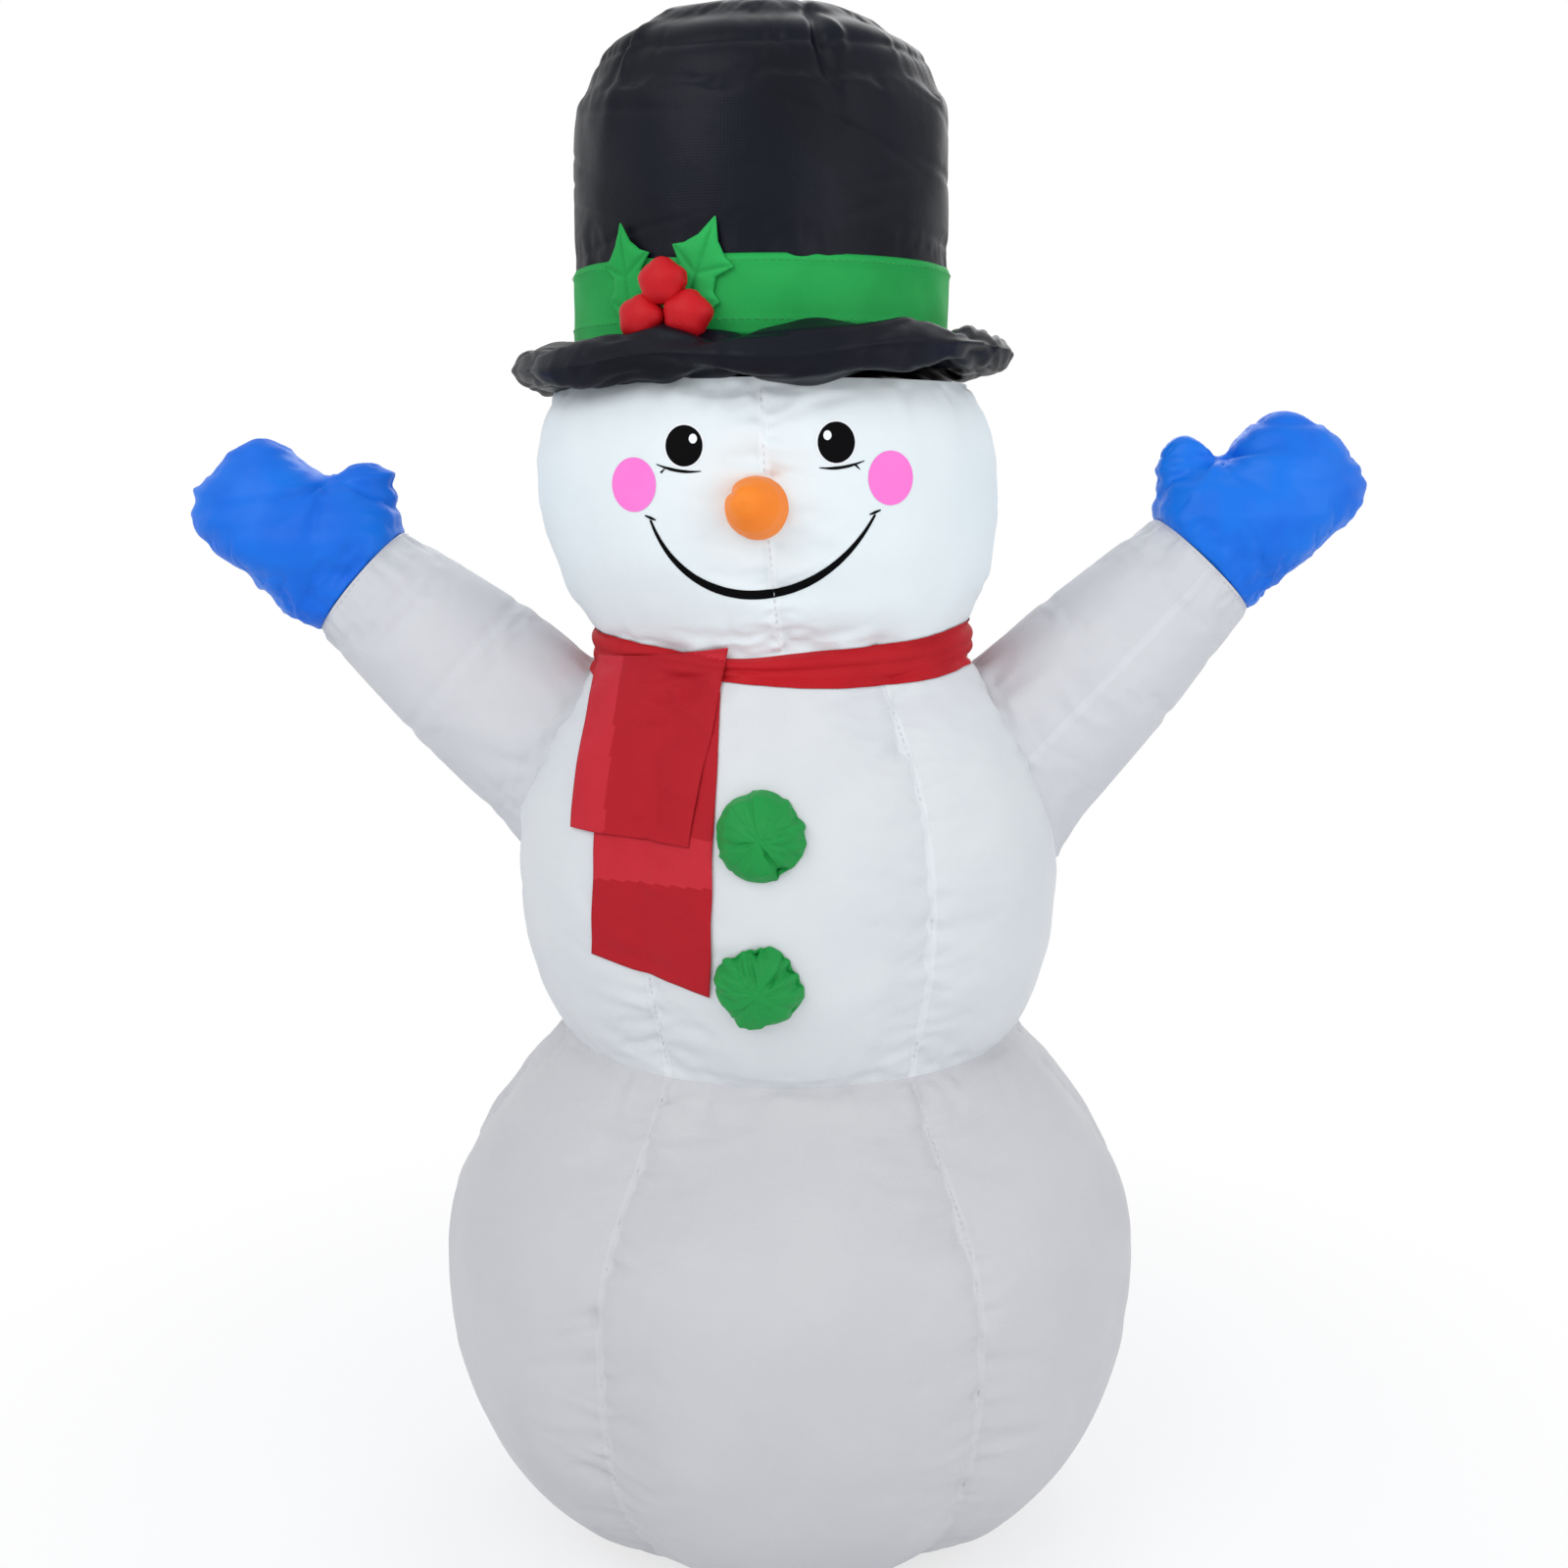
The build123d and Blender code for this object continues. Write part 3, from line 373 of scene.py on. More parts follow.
@dataclass(frozen=True)
class Gathers:
    """Small folds that start at a sewn edge and fade out away from it."""

    count: int
    height: float
    width: float
    reach: float

    def raise_by(self, along: np.ndarray, away: np.ndarray, length: float,
                 rng: np.random.Generator) -> np.ndarray:
        """Height of the folds at each point.

        Args:
            along: Each point's place along the edge.
            away: Each point's distance from it.
            length: The edge's length.
            rng: The source of the folds' places and sizes.
        Returns:
            The height to add to each point.
        """
        total = np.zeros(np.broadcast(along, away).shape)
        for _ in range(self.count):
            place, drift = rng.uniform(0, length), rng.normal(0, 0.25)
            width, reach = self.width * rng.uniform(0.6, 1.5), self.reach * rng.uniform(0.35, 1.6)
            height = self.height * rng.choice([-1.0, 0.7]) * rng.uniform(0.3, 1.0)
            offset = along - place - drift * away
            offset = (offset + length / 2) % length - length / 2
            total += height * np.exp(-(offset / (width * (1 + away / 90))) ** 2) * np.exp(-away / reach)
        return total


def wrapped(turn: np.ndarray | float) -> np.ndarray | float:
    """Brings angles in radians to the range from minus pi to pi."""
    return (turn + math.pi) % math.tau - math.pi


def folded(along: np.ndarray, away: np.ndarray, length: float, rng: np.random.Generator,
           *sets: tuple[int, float, float, float]) -> np.ndarray:
    """Adds up several sets of gathers along one edge.

    Args:
        along: Each point's place along the edge.
        away: Each point's distance from it.
        length: The edge's length.
        rng: The source of the folds' places and sizes.
        sets: Count, height, width and reach of each set.
    Returns:
        The height to add to each point.
    """
    return sum(Gathers(*one).raise_by(along, away, length, rng) for one in sets)


def long_creases(turn: np.ndarray, across: np.ndarray, radius: float, count: int, depth: float,
                 levels: Point2, widths: Point2, spans: Point2, rng: np.random.Generator) -> np.ndarray:
    """Sinks long slanting creases into a ring of cloth.

    Args:
        turn: Each point's angle round the ring.
        across: Each point's place across it.
        radius: The ring's radius.
        count: How many creases there are.
        depth: How deep each one is.
        levels: Between which places across the ring they lie.
        widths: The narrowest and the widest.
        spans: Half the length of the shortest and of the longest.
        rng: The source of their places and sizes.
    Returns:
        The height to add to each point.
    """
    total = np.zeros_like(turn)
    for _ in range(count):
        middle, level = rng.uniform(-math.pi, math.pi), rng.uniform(*levels)
        slope = rng.uniform(-STEEPEST_CREASE, STEEPEST_CREASE)
        width, span = rng.uniform(*widths), rng.uniform(*spans)
        offset = wrapped(turn - middle) * radius
        line = across - level - slope * offset
        total -= depth * np.exp(-(line / width) ** 2) * np.exp(-(offset / span) ** 2)
    return total


def make_piece(name: str, points: np.ndarray, closed: bool = False, caps: tuple[bool, bool] = (False, False),
               marks: dict[str, np.ndarray] | None = None) -> Piece:
    """Makes a mesh from rows of points, with a UV map in metres of cloth.

    Args:
        name: The piece's name.
        points: Rows by columns of places, in millimetres.
        closed: Whether each row's end joins its start.
        caps: Whether the first and the last row are closed with a fan.
        marks: Values for each point, by attribute name.
    Returns:
        The new piece.
    """
    rows, cols = points.shape[:2]
    places = points.reshape(-1, 3) * MM
    ring = cols if closed else cols - 1
    r, c = np.meshgrid(np.arange(rows - 1), np.arange(ring), indexing="ij")
    r, c = r.ravel(), c.ravel()
    following = (c + 1) % cols
    quads = np.stack([r * cols + c, r * cols + following, (r + 1) * cols + following, (r + 1) * cols + c],
                     axis=1)
    looped = np.concatenate([points, points[:, :1]], axis=1) if closed else points
    across = np.concatenate([[0], np.cumsum(np.linalg.norm(np.diff(looped, axis=1), axis=2).mean(0))]) * MM
    up = np.concatenate([[0], np.cumsum(np.linalg.norm(np.diff(points, axis=0), axis=2).mean(1))]) * MM
    corners = np.stack([np.stack([across[c], up[r]], 1), np.stack([across[c + 1], up[r]], 1),
                        np.stack([across[c + 1], up[r + 1]], 1), np.stack([across[c], up[r + 1]], 1)], 1)
    faces, uvs = quads.tolist(), corners.reshape(-1, 2).tolist()
    extra, capped = [], [row for row, wanted in ((0, caps[0]), (rows - 1, caps[1])) if wanted]
    for row in capped:
        centre = len(places) + len(extra)
        extra.append(points[row].mean(0) * MM)
        for col in range(ring):
            pair = [row * cols + col, row * cols + (col + 1) % cols]
            faces.append([centre, *(pair if row else pair[::-1])])
            uvs += [[across[col], up[row]]] * 3
    mesh = bpy.data.meshes.new(name)
    mesh.from_pydata([*places.tolist(), *[list(p) for p in extra]], [], faces)
    mesh.uv_layers.new(name="cloth").data.foreach_set("uv", np.array(uvs, np.float32).ravel())
    for mark, values in (marks or {}).items():
        flat = np.broadcast_to(values, (rows, cols)).reshape(-1)
        flat = np.concatenate([flat, [float(np.mean(values[row])) for row in capped]])
        mesh.attributes.new(mark, "FLOAT", "POINT").data.foreach_set("value", flat.astype(np.float32))
    mesh.polygons.foreach_set("use_smooth", [True] * len(mesh.polygons))
    piece = bpy.data.objects.new(name, mesh)
    bpy.context.scene.collection.objects.link(piece)
    return piece


def places_of(piece: Piece) -> np.ndarray:
    """The places of a piece's points, in metres."""
    co = np.empty(len(piece.data.vertices) * 3)
    piece.data.vertices.foreach_get("co", co)
    return co.reshape(-1, 3)


def put_places(piece: Piece, places: np.ndarray) -> None:
    """Moves a piece's points."""
    piece.data.vertices.foreach_set("co", places.ravel())
    piece.data.update()


def baked(piece: Piece) -> Piece:
    """Applies every modifier on a piece to its mesh."""
    graph = bpy.context.evaluated_depsgraph_get()
    mesh = bpy.data.meshes.new_from_object(piece.evaluated_get(graph))
    piece.modifiers.clear()
    piece.data = mesh
    return piece


def finished(piece: Piece, finish: Finish, body: str = STILL, nodes: tuple[str, ...] = ()) -> Piece:
    """Dresses a piece, puts it on a body and hides the CAD nodes it replaces.

    Args:
        piece: The piece, with its final mesh.
        finish: Its finish.
        body: The CAD body it moves with.
        nodes: The CAD nodes it replaces.
    Returns:
        The same piece.
    """
    WARDROBE.dress(piece, finish)
    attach(piece, body)
    if nodes:
        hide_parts(*nodes)
    log.info("%s: %d faces on %s", piece.name, len(piece.data.polygons), body)
    return piece


# ---------------------------------------------------------------- inflating

@dataclass(frozen=True)
class Inflation:
    """One piece to be blown up as cloth, its seams drawn a little shorter than the cloth between them."""

    piece: Piece
    held: np.ndarray            # 1 where a point stays put
    gathered: np.ndarray        # 1 on a seam, which shrinks
    pressure: float = 4.0
    shrink: float = 0.06
    reach: float = 9.0          # how far a point may move

    def start(self) -> None:
        """Adds the cloth simulation."""
        for name, weights in (("held", self.held), ("gathered", self.gathered)):
            group = self.piece.vertex_groups.new(name=name)
            for index in np.nonzero(weights > 0.01)[0]:
                group.add([int(index)], float(weights[index]), "REPLACE")
        cloth = self.piece.modifiers.new("inflated", "CLOTH")
        settings = cloth.settings
        for setting, value in CLOTH_SETTINGS.items():
            setattr(settings, setting, value)
        settings.uniform_pressure_force = self.pressure
        settings.shrink_max = self.shrink
        settings.effector_weights.gravity = 0
        cloth.collision_settings.use_collision = False

    def settle(self) -> None:
        """Keeps the simulated shape, no point further off than its reach."""
        before = places_of(self.piece)
        graph = bpy.context.evaluated_depsgraph_get()
        mesh = self.piece.evaluated_get(graph).to_mesh()
        after = np.empty(len(before) * 3)
        mesh.vertices.foreach_get("co", after)
        self.piece.evaluated_get(graph).to_mesh_clear()
        move = after.reshape(-1, 3) - before
        far = np.linalg.norm(move, axis=1)[:, None]
        limit = self.reach * MM
        move *= np.where(far > 1e-9, limit * np.tanh(far / limit) / np.maximum(far, 1e-9), 0)
        self.piece.modifiers.clear()
        self.piece.vertex_groups.clear()
        put_places(self.piece, before + move)
        log.info("%s settled, moved %.1f mm at most", self.piece.name, float(far.max()) / MM)


def inflate(jobs: list[Inflation]) -> None:
    """Blows up every piece in one run of the cloth simulation."""
    for job in jobs:
        job.start()
    scene = bpy.context.scene
    for number in range(1, INFLATING_FRAMES + 1):
        scene.frame_set(number)
    for job in jobs:
        job.settle()
    scene.frame_set(1)


def creased(piece: Piece, heights: np.ndarray) -> None:
    """Raises a piece's points off its surface by heights in millimetres."""
    normals = np.empty(len(piece.data.vertices) * 3)
    piece.data.vertices.foreach_get("normal", normals)
    put_places(piece, places_of(piece) + normals.reshape(-1, 3) * heights[:, None] * MM)


def smoothed(piece: Piece, levels: int = 1) -> Piece:
    """Subdivides a piece once its cloth has settled."""
    modifier = piece.modifiers.new("smooth", "SUBSURF")
    modifier.levels = modifier.render_levels = levels
    return baked(piece)


# ---------------------------------------------------------------- skin of the body

@dataclass
class Skin:
    """One puffed section of the body, sewn from upright gores."""

    name: str
    foot: Point2
    widest: Point2
    top: Point2
    foot_fullness: tuple[float, float, float]
    top_fullness: tuple[float, float, float]
    gores: int
    finish: Finish
    nodes: tuple[str, ...]
    seed: int
    rows: int = 84
    gore_columns: int = 30
    seam_depth: float = 6.0
    based: bool = False
    folds: tuple[tuple[int, float, float, float], ...] = ((44, 3.8, 4.5, 15), (26, 3.8, 6.5, 34),
                                                          (8, 3.2, 8, 70))
    piece: Piece | None = None

    def half(self, rim: Point2, fullness: tuple[float, float, float]) -> np.ndarray:
        """The side of this section from its widest ring to one rim."""
        upright, spread, lift = fullness
        rise, reach = rim[1] - self.widest[1], self.widest[0] - rim[0]
        return bezier([self.widest, (self.widest[0], self.widest[1] + upright * rise),
                       (rim[0] + spread * reach, rim[1] - lift * rise), rim], 60)

    def outline(self) -> np.ndarray:
        """The section's whole side, from its lower rim to its upper one."""
        return np.concatenate([self.half(self.foot, self.foot_fullness)[::-1],
                               self.half(self.top, self.top_fullness)[1:]])

    def first_seam(self) -> float:
        """The angle of the first upright seam."""
        return -90 - (180 / self.gores if self.gores == 6 else 0)

    def crease(self) -> None:
        """Adds the small folds that run from the seams and rims into the cloth."""
        rng = np.random.default_rng(self.seed)
        places = places_of(self.piece) / MM
        height = places[:, 2]
        radius = np.hypot(places[:, 0] - lean(height), places[:, 1])
        side = evenly(self.outline(), 400)
        lengths = np.linspace(0, np.linalg.norm(np.diff(side, axis=0), axis=1).sum(), 400)
        run = np.interp(height, side[:, 1], lengths)
        bearing = np.degrees(np.arctan2(places[:, 1], places[:, 0] - lean(height)))
        step = 360 / self.gores
        seam_number = np.round((bearing - self.first_seam()) / step)
        signed = np.radians(bearing - self.first_seam() - seam_number * step) * radius
        seam_number = seam_number.astype(int) % self.gores
        total = np.zeros(len(places))
        for seam in range(self.gores):
            for sign in (-1, 1):
                mine = (seam_number == seam) & (signed * sign >= 0)
                for one in self.folds:
                    total[mine] += folded(run[mine], np.abs(signed[mine]), float(lengths[-1]), rng, one)
        total *= np.clip(np.abs(signed) / 5, 0.25, 1)
        for distance, rim in ((run, self.foot), (lengths[-1] - run, self.top)):
            length = math.tau * rim[0]
            around = np.radians(bearing) * rim[0] % length
            rim_folds = folded(around, distance, length, rng, (100, 3.0, 6, 26), (14, 3.5, 9, 60))
            for seam in range(self.gores):
                near = np.radians(bearing - self.first_seam() - step * seam) * rim[0]
                near = (near + length / 2) % length - length / 2
                star = folded(near + 45, distance, 90, rng, (6, 5.0, 7, 80))
                rim_folds += star * np.exp(-(near / 44) ** 2)
            total += rim_folds * np.clip(distance / 10, 0, 1)
        total *= np.clip(np.minimum(run, lengths[-1] - run) / 8, 0, 1)
        if self.based:
            total *= np.clip((height - 3) / 30, 0, 1)
        creased(self.piece, total)

    def build(self) -> Inflation:
        """Makes the skin and returns how it is inflated."""
        side = evenly(self.outline(), self.rows)
        run = np.linspace(0, np.linalg.norm(np.diff(side, axis=0), axis=1).sum(), self.rows)[:, None]
        share = np.arange(self.gore_columns) / self.gore_columns
        share = share - 0.4 * np.sin(math.tau * share) / math.tau
        step = 360 / self.gores
        angle = (self.first_seam() + step * (np.arange(self.gores)[:, None] + share[None, :])).ravel()
        radius, height = side[:, :1], side[:, 1:]
        from_seam = np.minimum(share, 1 - share)
        away = np.tile(from_seam, self.gores)[None, :] * math.radians(step) * radius
        raised = -self.seam_depth * np.exp(-away / 13) - 0.35 * self.seam_depth * np.exp(-away / 45)
        hold = np.minimum(np.minimum(run, run[-1] - run) / 12, 1)
        raised *= hold
        wide = radius + raised
        turn = np.radians(angle)[None, :]
        points = np.stack([lean(height) + wide * np.cos(turn), wide * np.sin(turn),
                           np.broadcast_to(height, wide.shape)], axis=2)
        self.piece = make_piece(self.name, points, closed=True, caps=(self.based, False),
                                marks={"seams": away * MM})
        total = len(self.piece.data.vertices)
        held = np.ones(total)
        held[:away.size] = np.clip(1 - hold * np.ones_like(away), 0, 1).ravel()
        gathered = np.zeros(total)
        gathered[:away.size] = np.exp(-(away / 6) ** 2).ravel()
        return Inflation(self.piece, held, gathered, pressure=3.0, shrink=0.05, reach=7)

    def seam_lines(self) -> list[np.ndarray]:
        """The points down each upright seam, in metres."""
        count = self.gores * self.gore_columns
        places = places_of(self.piece)[:self.rows * count].reshape(self.rows, count, 3)
        return [places[3:-3, seam * self.gore_columns] for seam in range(self.gores)]

    def dress(self) -> None:
        """Finishes the skin."""
        finished(self.piece, self.finish, nodes=self.nodes)


def lower_openings(piece: Piece) -> None:
    """Opens the lower skin for the fan's sleeve, and draws it in under the zipper's tapes."""
    port, out, radius = FAN.centre(), FAN.out(), FAN.sleeve_radius
    places = places_of(piece) / MM
    offset = places - port
    beside = offset - (offset @ out)[:, None] * out
    far = np.linalg.norm(beside, axis=1)
    near_fan = (np.abs(offset @ out) < FAN_REACH) & (places[:, 1] > 0)
    mesh = bmesh.new()
    mesh.from_mesh(piece.data)
    mesh.verts.ensure_lookup_table()
    gone = [mesh.verts[i] for i in np.nonzero(near_fan & (far < radius))[0]]
    bmesh.ops.delete(mesh, geom=gone, context="VERTS")
    for vert in mesh.verts:
        if vert.is_boundary and vert.co.y > 0:
            spot = np.array(vert.co) / MM
            rel = spot - port
            side = rel - (rel @ out) * out
            distance = np.linalg.norm(side)
            if distance < 1.5 * radius and abs(rel @ out) < FAN_REACH:
                vert.co = Vector((spot + side * (radius / distance - 1)) * MM)
    mesh.to_mesh(piece.data)
    mesh.free()
    places = places_of(piece) / MM
    radial = np.hypot(places[:, 0], places[:, 1])
    angle = np.degrees(np.arctan2(places[:, 1], places[:, 0]))
    beyond = (np.abs(angle - ZIPPER.angle) - ZIPPER.half_span) * math.radians(1) * ZIPPER.radius
    along = np.clip(beyond / ZIPPER_FADE, 0, 1)
    across = np.clip((np.abs(places[:, 2] - ZIPPER.height) - ZIPPER.tape) / ZIPPER_FADE, 0, 1)
    press = (1 - along ** 2) * (1 - across ** 2)
    target = np.minimum(radial, ZIPPER.radius - ZIPPER_SINK)
    scale = 1 + press * (target / np.maximum(radial, 1) - 1)
    places[:, :2] *= scale[:, None]
    put_places(piece, places * MM)


# ---------------------------------------------------------------- arms and mittens

INSIDE = 70.0        # how far an arm's skin runs on inside the torso
# A mitten's lower edge, upper edge and half depth at distances out from the cuff
MITTEN_LOW = ((0, -64), (12, -67), (57, -76), (122, -78), (156, -74), (176, -58), (188, -32))
MITTEN_HIGH = ((0, 63), (14, 76), (34, 85), (58, 80), (86, 57), (112, 59), (142, 60), (162, 51), (180, 26),
               (188, -8))
MITTEN_DEPTH = ((0, 63), (40, 62), (110, 58), (150, 46), (172, 30), (183, 15), (188, 5))
# A thumb's half width and half depth along its own length, from its root to its tip
THUMB_WIDTH = ((0, 46), (0.55, 37), (0.8, 29), (0.93, 21), (1, 9))
THUMB_DEPTH = ((0, 44), (0.5, 34), (0.8, 24), (0.93, 14), (1, 3))
THUMB_ROOT, THUMB_TIP = (36.0, 10.0), (60.0, 104.0)
CROTCH = (84.0, 58.0)


def profile(values: np.ndarray, steps: tuple[Point2, ...]) -> np.ndarray:
    """Reads an outline given as steps of place and value."""
    return np.interp(values, *zip(*steps))


@dataclass
class Arm:
    """An arm and its mitten, raised to one side."""

    side: int
    angle: float
    name: str
    shoulder: Point2 = (239.0, 824.0)
    length: float = 252.0
    root_radius: float = 97.0
    cuff_radius: float = 64.0
    rise: float = 0.0           # how much higher the mitten's thumb edge stands
    sleeve: Piece | None = None
    mitten: Piece | None = None

    def place(self, along: np.ndarray, up: np.ndarray, out: np.ndarray) -> np.ndarray:
        """Turns places along, above and behind the arm's axis into the snowman's frame."""
        turn = math.radians(self.angle)
        x = self.side * (self.shoulder[0] + along * math.cos(turn) - up * math.sin(turn))
        z = self.shoulder[1] + along * math.sin(turn) + up * math.cos(turn)
        return np.stack([x, out, z], axis=-1)

    def build_sleeve(self) -> Inflation:
        """Makes the arm's skin, from inside the torso to the cuff."""
        along = np.linspace(-INSIDE, self.length, 56)[:, None]
        turn = np.linspace(0, math.tau, 96, endpoint=False)[None, :] * -self.side
        radius = np.interp(along, (-INSIDE, 0, 0.45 * self.length, 0.85 * self.length, self.length),
                           (self.root_radius + 10, self.root_radius - 2, 86, 71, self.cuff_radius))
        to_cuff = self.length - along
        under = np.abs(wrapped(turn + math.pi / 2 * self.side)) * radius
        raised = -4.0 * np.exp(-under / 12) * np.minimum(to_cuff / 10, 1)
        wide = radius + raised
        points = self.place(along + 0 * wide, wide * np.cos(turn), wide * np.sin(turn))
        self.sleeve = make_piece(f"{self.name}_arm_skin", points, closed=True,
                                 marks={"seams": under * MM + 0 * wide})
        held = np.clip(1 - np.minimum(to_cuff, along + INSIDE) / 14, 0, 1) + 0 * wide
        return Inflation(self.sleeve, held.ravel(), np.exp(-(under / 6) ** 2).ravel(), pressure=3.0,
                         shrink=0.05, reach=6)

    def local(self, piece: Piece) -> tuple[np.ndarray, np.ndarray, np.ndarray]:
        """A piece's places along, above and behind the arm's axis."""
        places = places_of(piece) / MM
        turn = math.radians(self.angle)
        beside, above = places[:, 0] * self.side - self.shoulder[0], places[:, 2] - self.shoulder[1]
        return (beside * math.cos(turn) + above * math.sin(turn),
                -beside * math.sin(turn) + above * math.cos(turn), places[:, 1])

    def crease_sleeve(self, torso: Ground) -> None:
        """Adds the folds at the cuff, the shoulder seam and the seam behind the arm."""
        rng = np.random.default_rng(40 + self.side)
        along, up, out = self.local(self.sleeve)
        turn = np.arctan2(out, up)
        to_cuff = self.length - along
        ring = (turn % math.tau) * 80
        total = folded(ring, to_cuff, math.tau * 80, rng, (50, 3.4, 5, 20), (16, 3.2, 8, 45))
        off = np.array([torso.tree.find_nearest(v.co)[3] for v in self.sleeve.data.vertices]) / MM
        at_seam = folded(ring, off, math.tau * 80, rng, (44, 4.2, 6, 24), (12, 4.5, 10, 70))
        total += at_seam * np.clip(off / 8, 0, 1)
        under = np.abs(wrapped(turn + math.pi / 2 * self.side)) * 80
        total += folded(along + INSIDE, under, self.length + INSIDE, rng, (30, 3.0, 6, 20))
        creased(self.sleeve, total * np.clip(to_cuff / 8, 0, 1))

    def crease_torso(self, torso: Piece) -> None:
        """Adds the folds that run from the shoulder seam into the torso."""
        rng = np.random.default_rng(140 + self.side)
        along, up, out = self.local(torso)
        radius = np.interp(along, (-INSIDE, 0, self.length),
                           (self.root_radius + 10, self.root_radius, self.cuff_radius))
        off = np.hypot(up, out) - radius
        ring = (np.arctan2(out, up) % math.tau) * 90
        near = (along > -75) & (off > -12)
        total = folded(ring, np.abs(off), math.tau * 90, rng, (40, 4.2, 6, 22), (12, 4.0, 9, 60))
        total -= 3.0 * np.exp(-np.abs(off) / 8)
        creased(torso, np.where(near, total, 0.0) * np.exp(-np.clip(-20 - along, 0, None) / 12))

    def build_mitten(self) -> Inflation:
        """Makes the mitten: a hand and a thumb run together, then blown up."""
        along = np.concatenate([np.linspace(0, 150, 30),
                                150 + 38 * np.sin(np.linspace(0.08, math.pi / 2, 12))])
        low, depth = profile(along, MITTEN_LOW), profile(along, MITTEN_DEPTH)
        high = profile(along, MITTEN_HIGH) + self.rise * np.clip(along / 80, 0, 1)
        turn = np.linspace(0, math.tau, 72, endpoint=False)[None, :] * -self.side
        middle, half = ((low + high) / 2)[:, None], ((high - low) / 2)[:, None]
        power = 0.85
        up = middle + half * np.sign(np.cos(turn)) * np.abs(np.cos(turn)) ** power
        out = depth[:, None] * np.sign(np.sin(turn)) * np.abs(np.sin(turn)) ** power
        skin = self.place(self.length + along[:, None] + 0 * up, up, out)
        hand = make_piece(f"{self.name}_mitten_skin", skin, closed=True, caps=(True, True))
        lift = np.linspace(0, 1, 26)[:, None]
        base, tip = np.array(THUMB_ROOT), np.array(THUMB_TIP) + (0, self.rise)
        reach = base + (tip - base) * lift
        wide, thick = profile(lift, THUMB_WIDTH), profile(lift, THUMB_DEPTH)
        axis = (tip - base) / np.linalg.norm(tip - base)
        ring = np.linspace(0, math.tau, 48, endpoint=False)[None, :] * -self.side
        thumb_along = reach[:, :1] + wide * np.cos(ring) * axis[1]
        thumb_up = reach[:, 1:] - wide * np.cos(ring) * axis[0]
        thumb_points = self.place(self.length + thumb_along, thumb_up, -thick * np.sin(ring))
        thumb = make_piece("thumb", thumb_points, closed=True, caps=(True, True))
        mesh = bmesh.new()
        mesh.from_mesh(hand.data)
        mesh.from_mesh(thumb.data)
        bmesh.ops.recalc_face_normals(mesh, faces=mesh.faces[:])
        mesh.to_mesh(hand.data)
        mesh.free()
        bpy.data.objects.remove(thumb)
        remesh = hand.modifiers.new("one_skin", "REMESH")
        remesh.mode, remesh.voxel_size, remesh.use_smooth_shade = "VOXEL", 3.4 * MM, True
        relax = hand.modifiers.new("relax", "SMOOTH")
        relax.factor, relax.iterations = 0.5, 3
        self.mitten = baked(hand)
        along, _, out = self.local(self.mitten)
        reach_out, edge = along - self.length, np.abs(out)
        held = np.clip(1 - reach_out / 12, 0, 1)
        return Inflation(self.mitten, held, np.exp(-(edge / 5) ** 2) * (reach_out > 10), pressure=3.0,
                         shrink=0.05, reach=6)

    def crease_mitten(self) -> None:
        """Adds the folds along the mitten's edge seam, from the thumb's crotch and at the cuff."""
        rng = np.random.default_rng(50 + self.side)
        along, height, out = self.local(self.mitten)
        reach_out, edge = along - self.length, np.abs(out)
        total = folded(reach_out + height, edge, 240, rng, (40, 4.0, 5, 22), (12, 4.5, 9, 50))
        total -= 1.5 * np.exp(-edge / 4)
        beside, above = reach_out - CROTCH[0], height - CROTCH[1] - self.rise
        crotch, bearing = np.hypot(beside, above), np.degrees(np.arctan2(above, beside)) + 180
        total += folded(bearing, crotch, 360, rng, (11, 7.0, 8, 46)) * np.clip(crotch / 10, 0, 1)
        ring = (np.arctan2(out, height) % math.tau) * 63
        total += folded(ring, np.clip(reach_out, 0, None), math.tau * 63, rng, (44, 3.0, 5, 22))
        creased(self.mitten, total * np.clip(reach_out / 8, 0, 1))

    def dress(self) -> None:
        """Finishes the arm and the mitten."""
        finished(self.sleeve, Finish.ARM_CLOTH_PAINTED_LIGHT, nodes=(f"{self.name}_arm",))
        finished(self.mitten, Finish.BLUE_CLOTH, nodes=(f"{self.name}_mitten",))


# ---------------------------------------------------------------- surfaces that other pieces lie on

class Ground:
    """The outer surface of several pieces, for laying other pieces on."""

    def __init__(self, *pieces: Piece) -> None:
        """Reads the pieces as they are now."""
        places, faces = [], []
        for piece in pieces:
            start = len(places)
            places += [v.co.copy() for v in piece.data.vertices]
            faces += [[start + i for i in p.vertices] for p in piece.data.polygons]
        self.tree = BVHTree.FromPolygons(places, faces)

    def front(self, x: float, z: float) -> tuple[Vector, Vector]:
        """The place, in mm, and the outward direction of the surface straight in from the front."""
        place, normal, _, _ = self.tree.ray_cast(Vector((x, -2000, z)) * MM, Vector((0, 1, 0)))
        if place is None:
            return Vector((x, 0, z)), Vector((0, -1, 0))
        return place / MM, normal if normal.y < 0 else -normal

    def round(self, angle: float, z: float, middle: float) -> tuple[Vector, Vector]:
        """The same, from an angle round an upright axis at x = middle."""
        out = Vector((math.cos(math.radians(angle)), math.sin(math.radians(angle)), 0))
        start = Vector((middle, 0, z)) + out * 1500
        place, normal, _, _ = self.tree.ray_cast(start * MM, -out)
        if place is None:
            return Vector((middle, 0, z)) + out * 200, out
        return place / MM, normal if normal.dot(out) > 0 else -normal


# ---------------------------------------------------------------- hat

# Slow bends of the brim's edge and dents across it, each with its angle, width and height
BRIM_BENDS = ((-2.45, 0.35, -7.0), (-2.0, 0.3, 5.0), (-1.55, 0.4, -5.0))
BRIM_DENTS = ((-2.05, 0.10, 6.0), (-1.78, 0.07, -7.0), (-1.5, 0.12, 5.0), (-0.8, 0.1, -4.0),
              (-2.6, 0.09, -5.0))


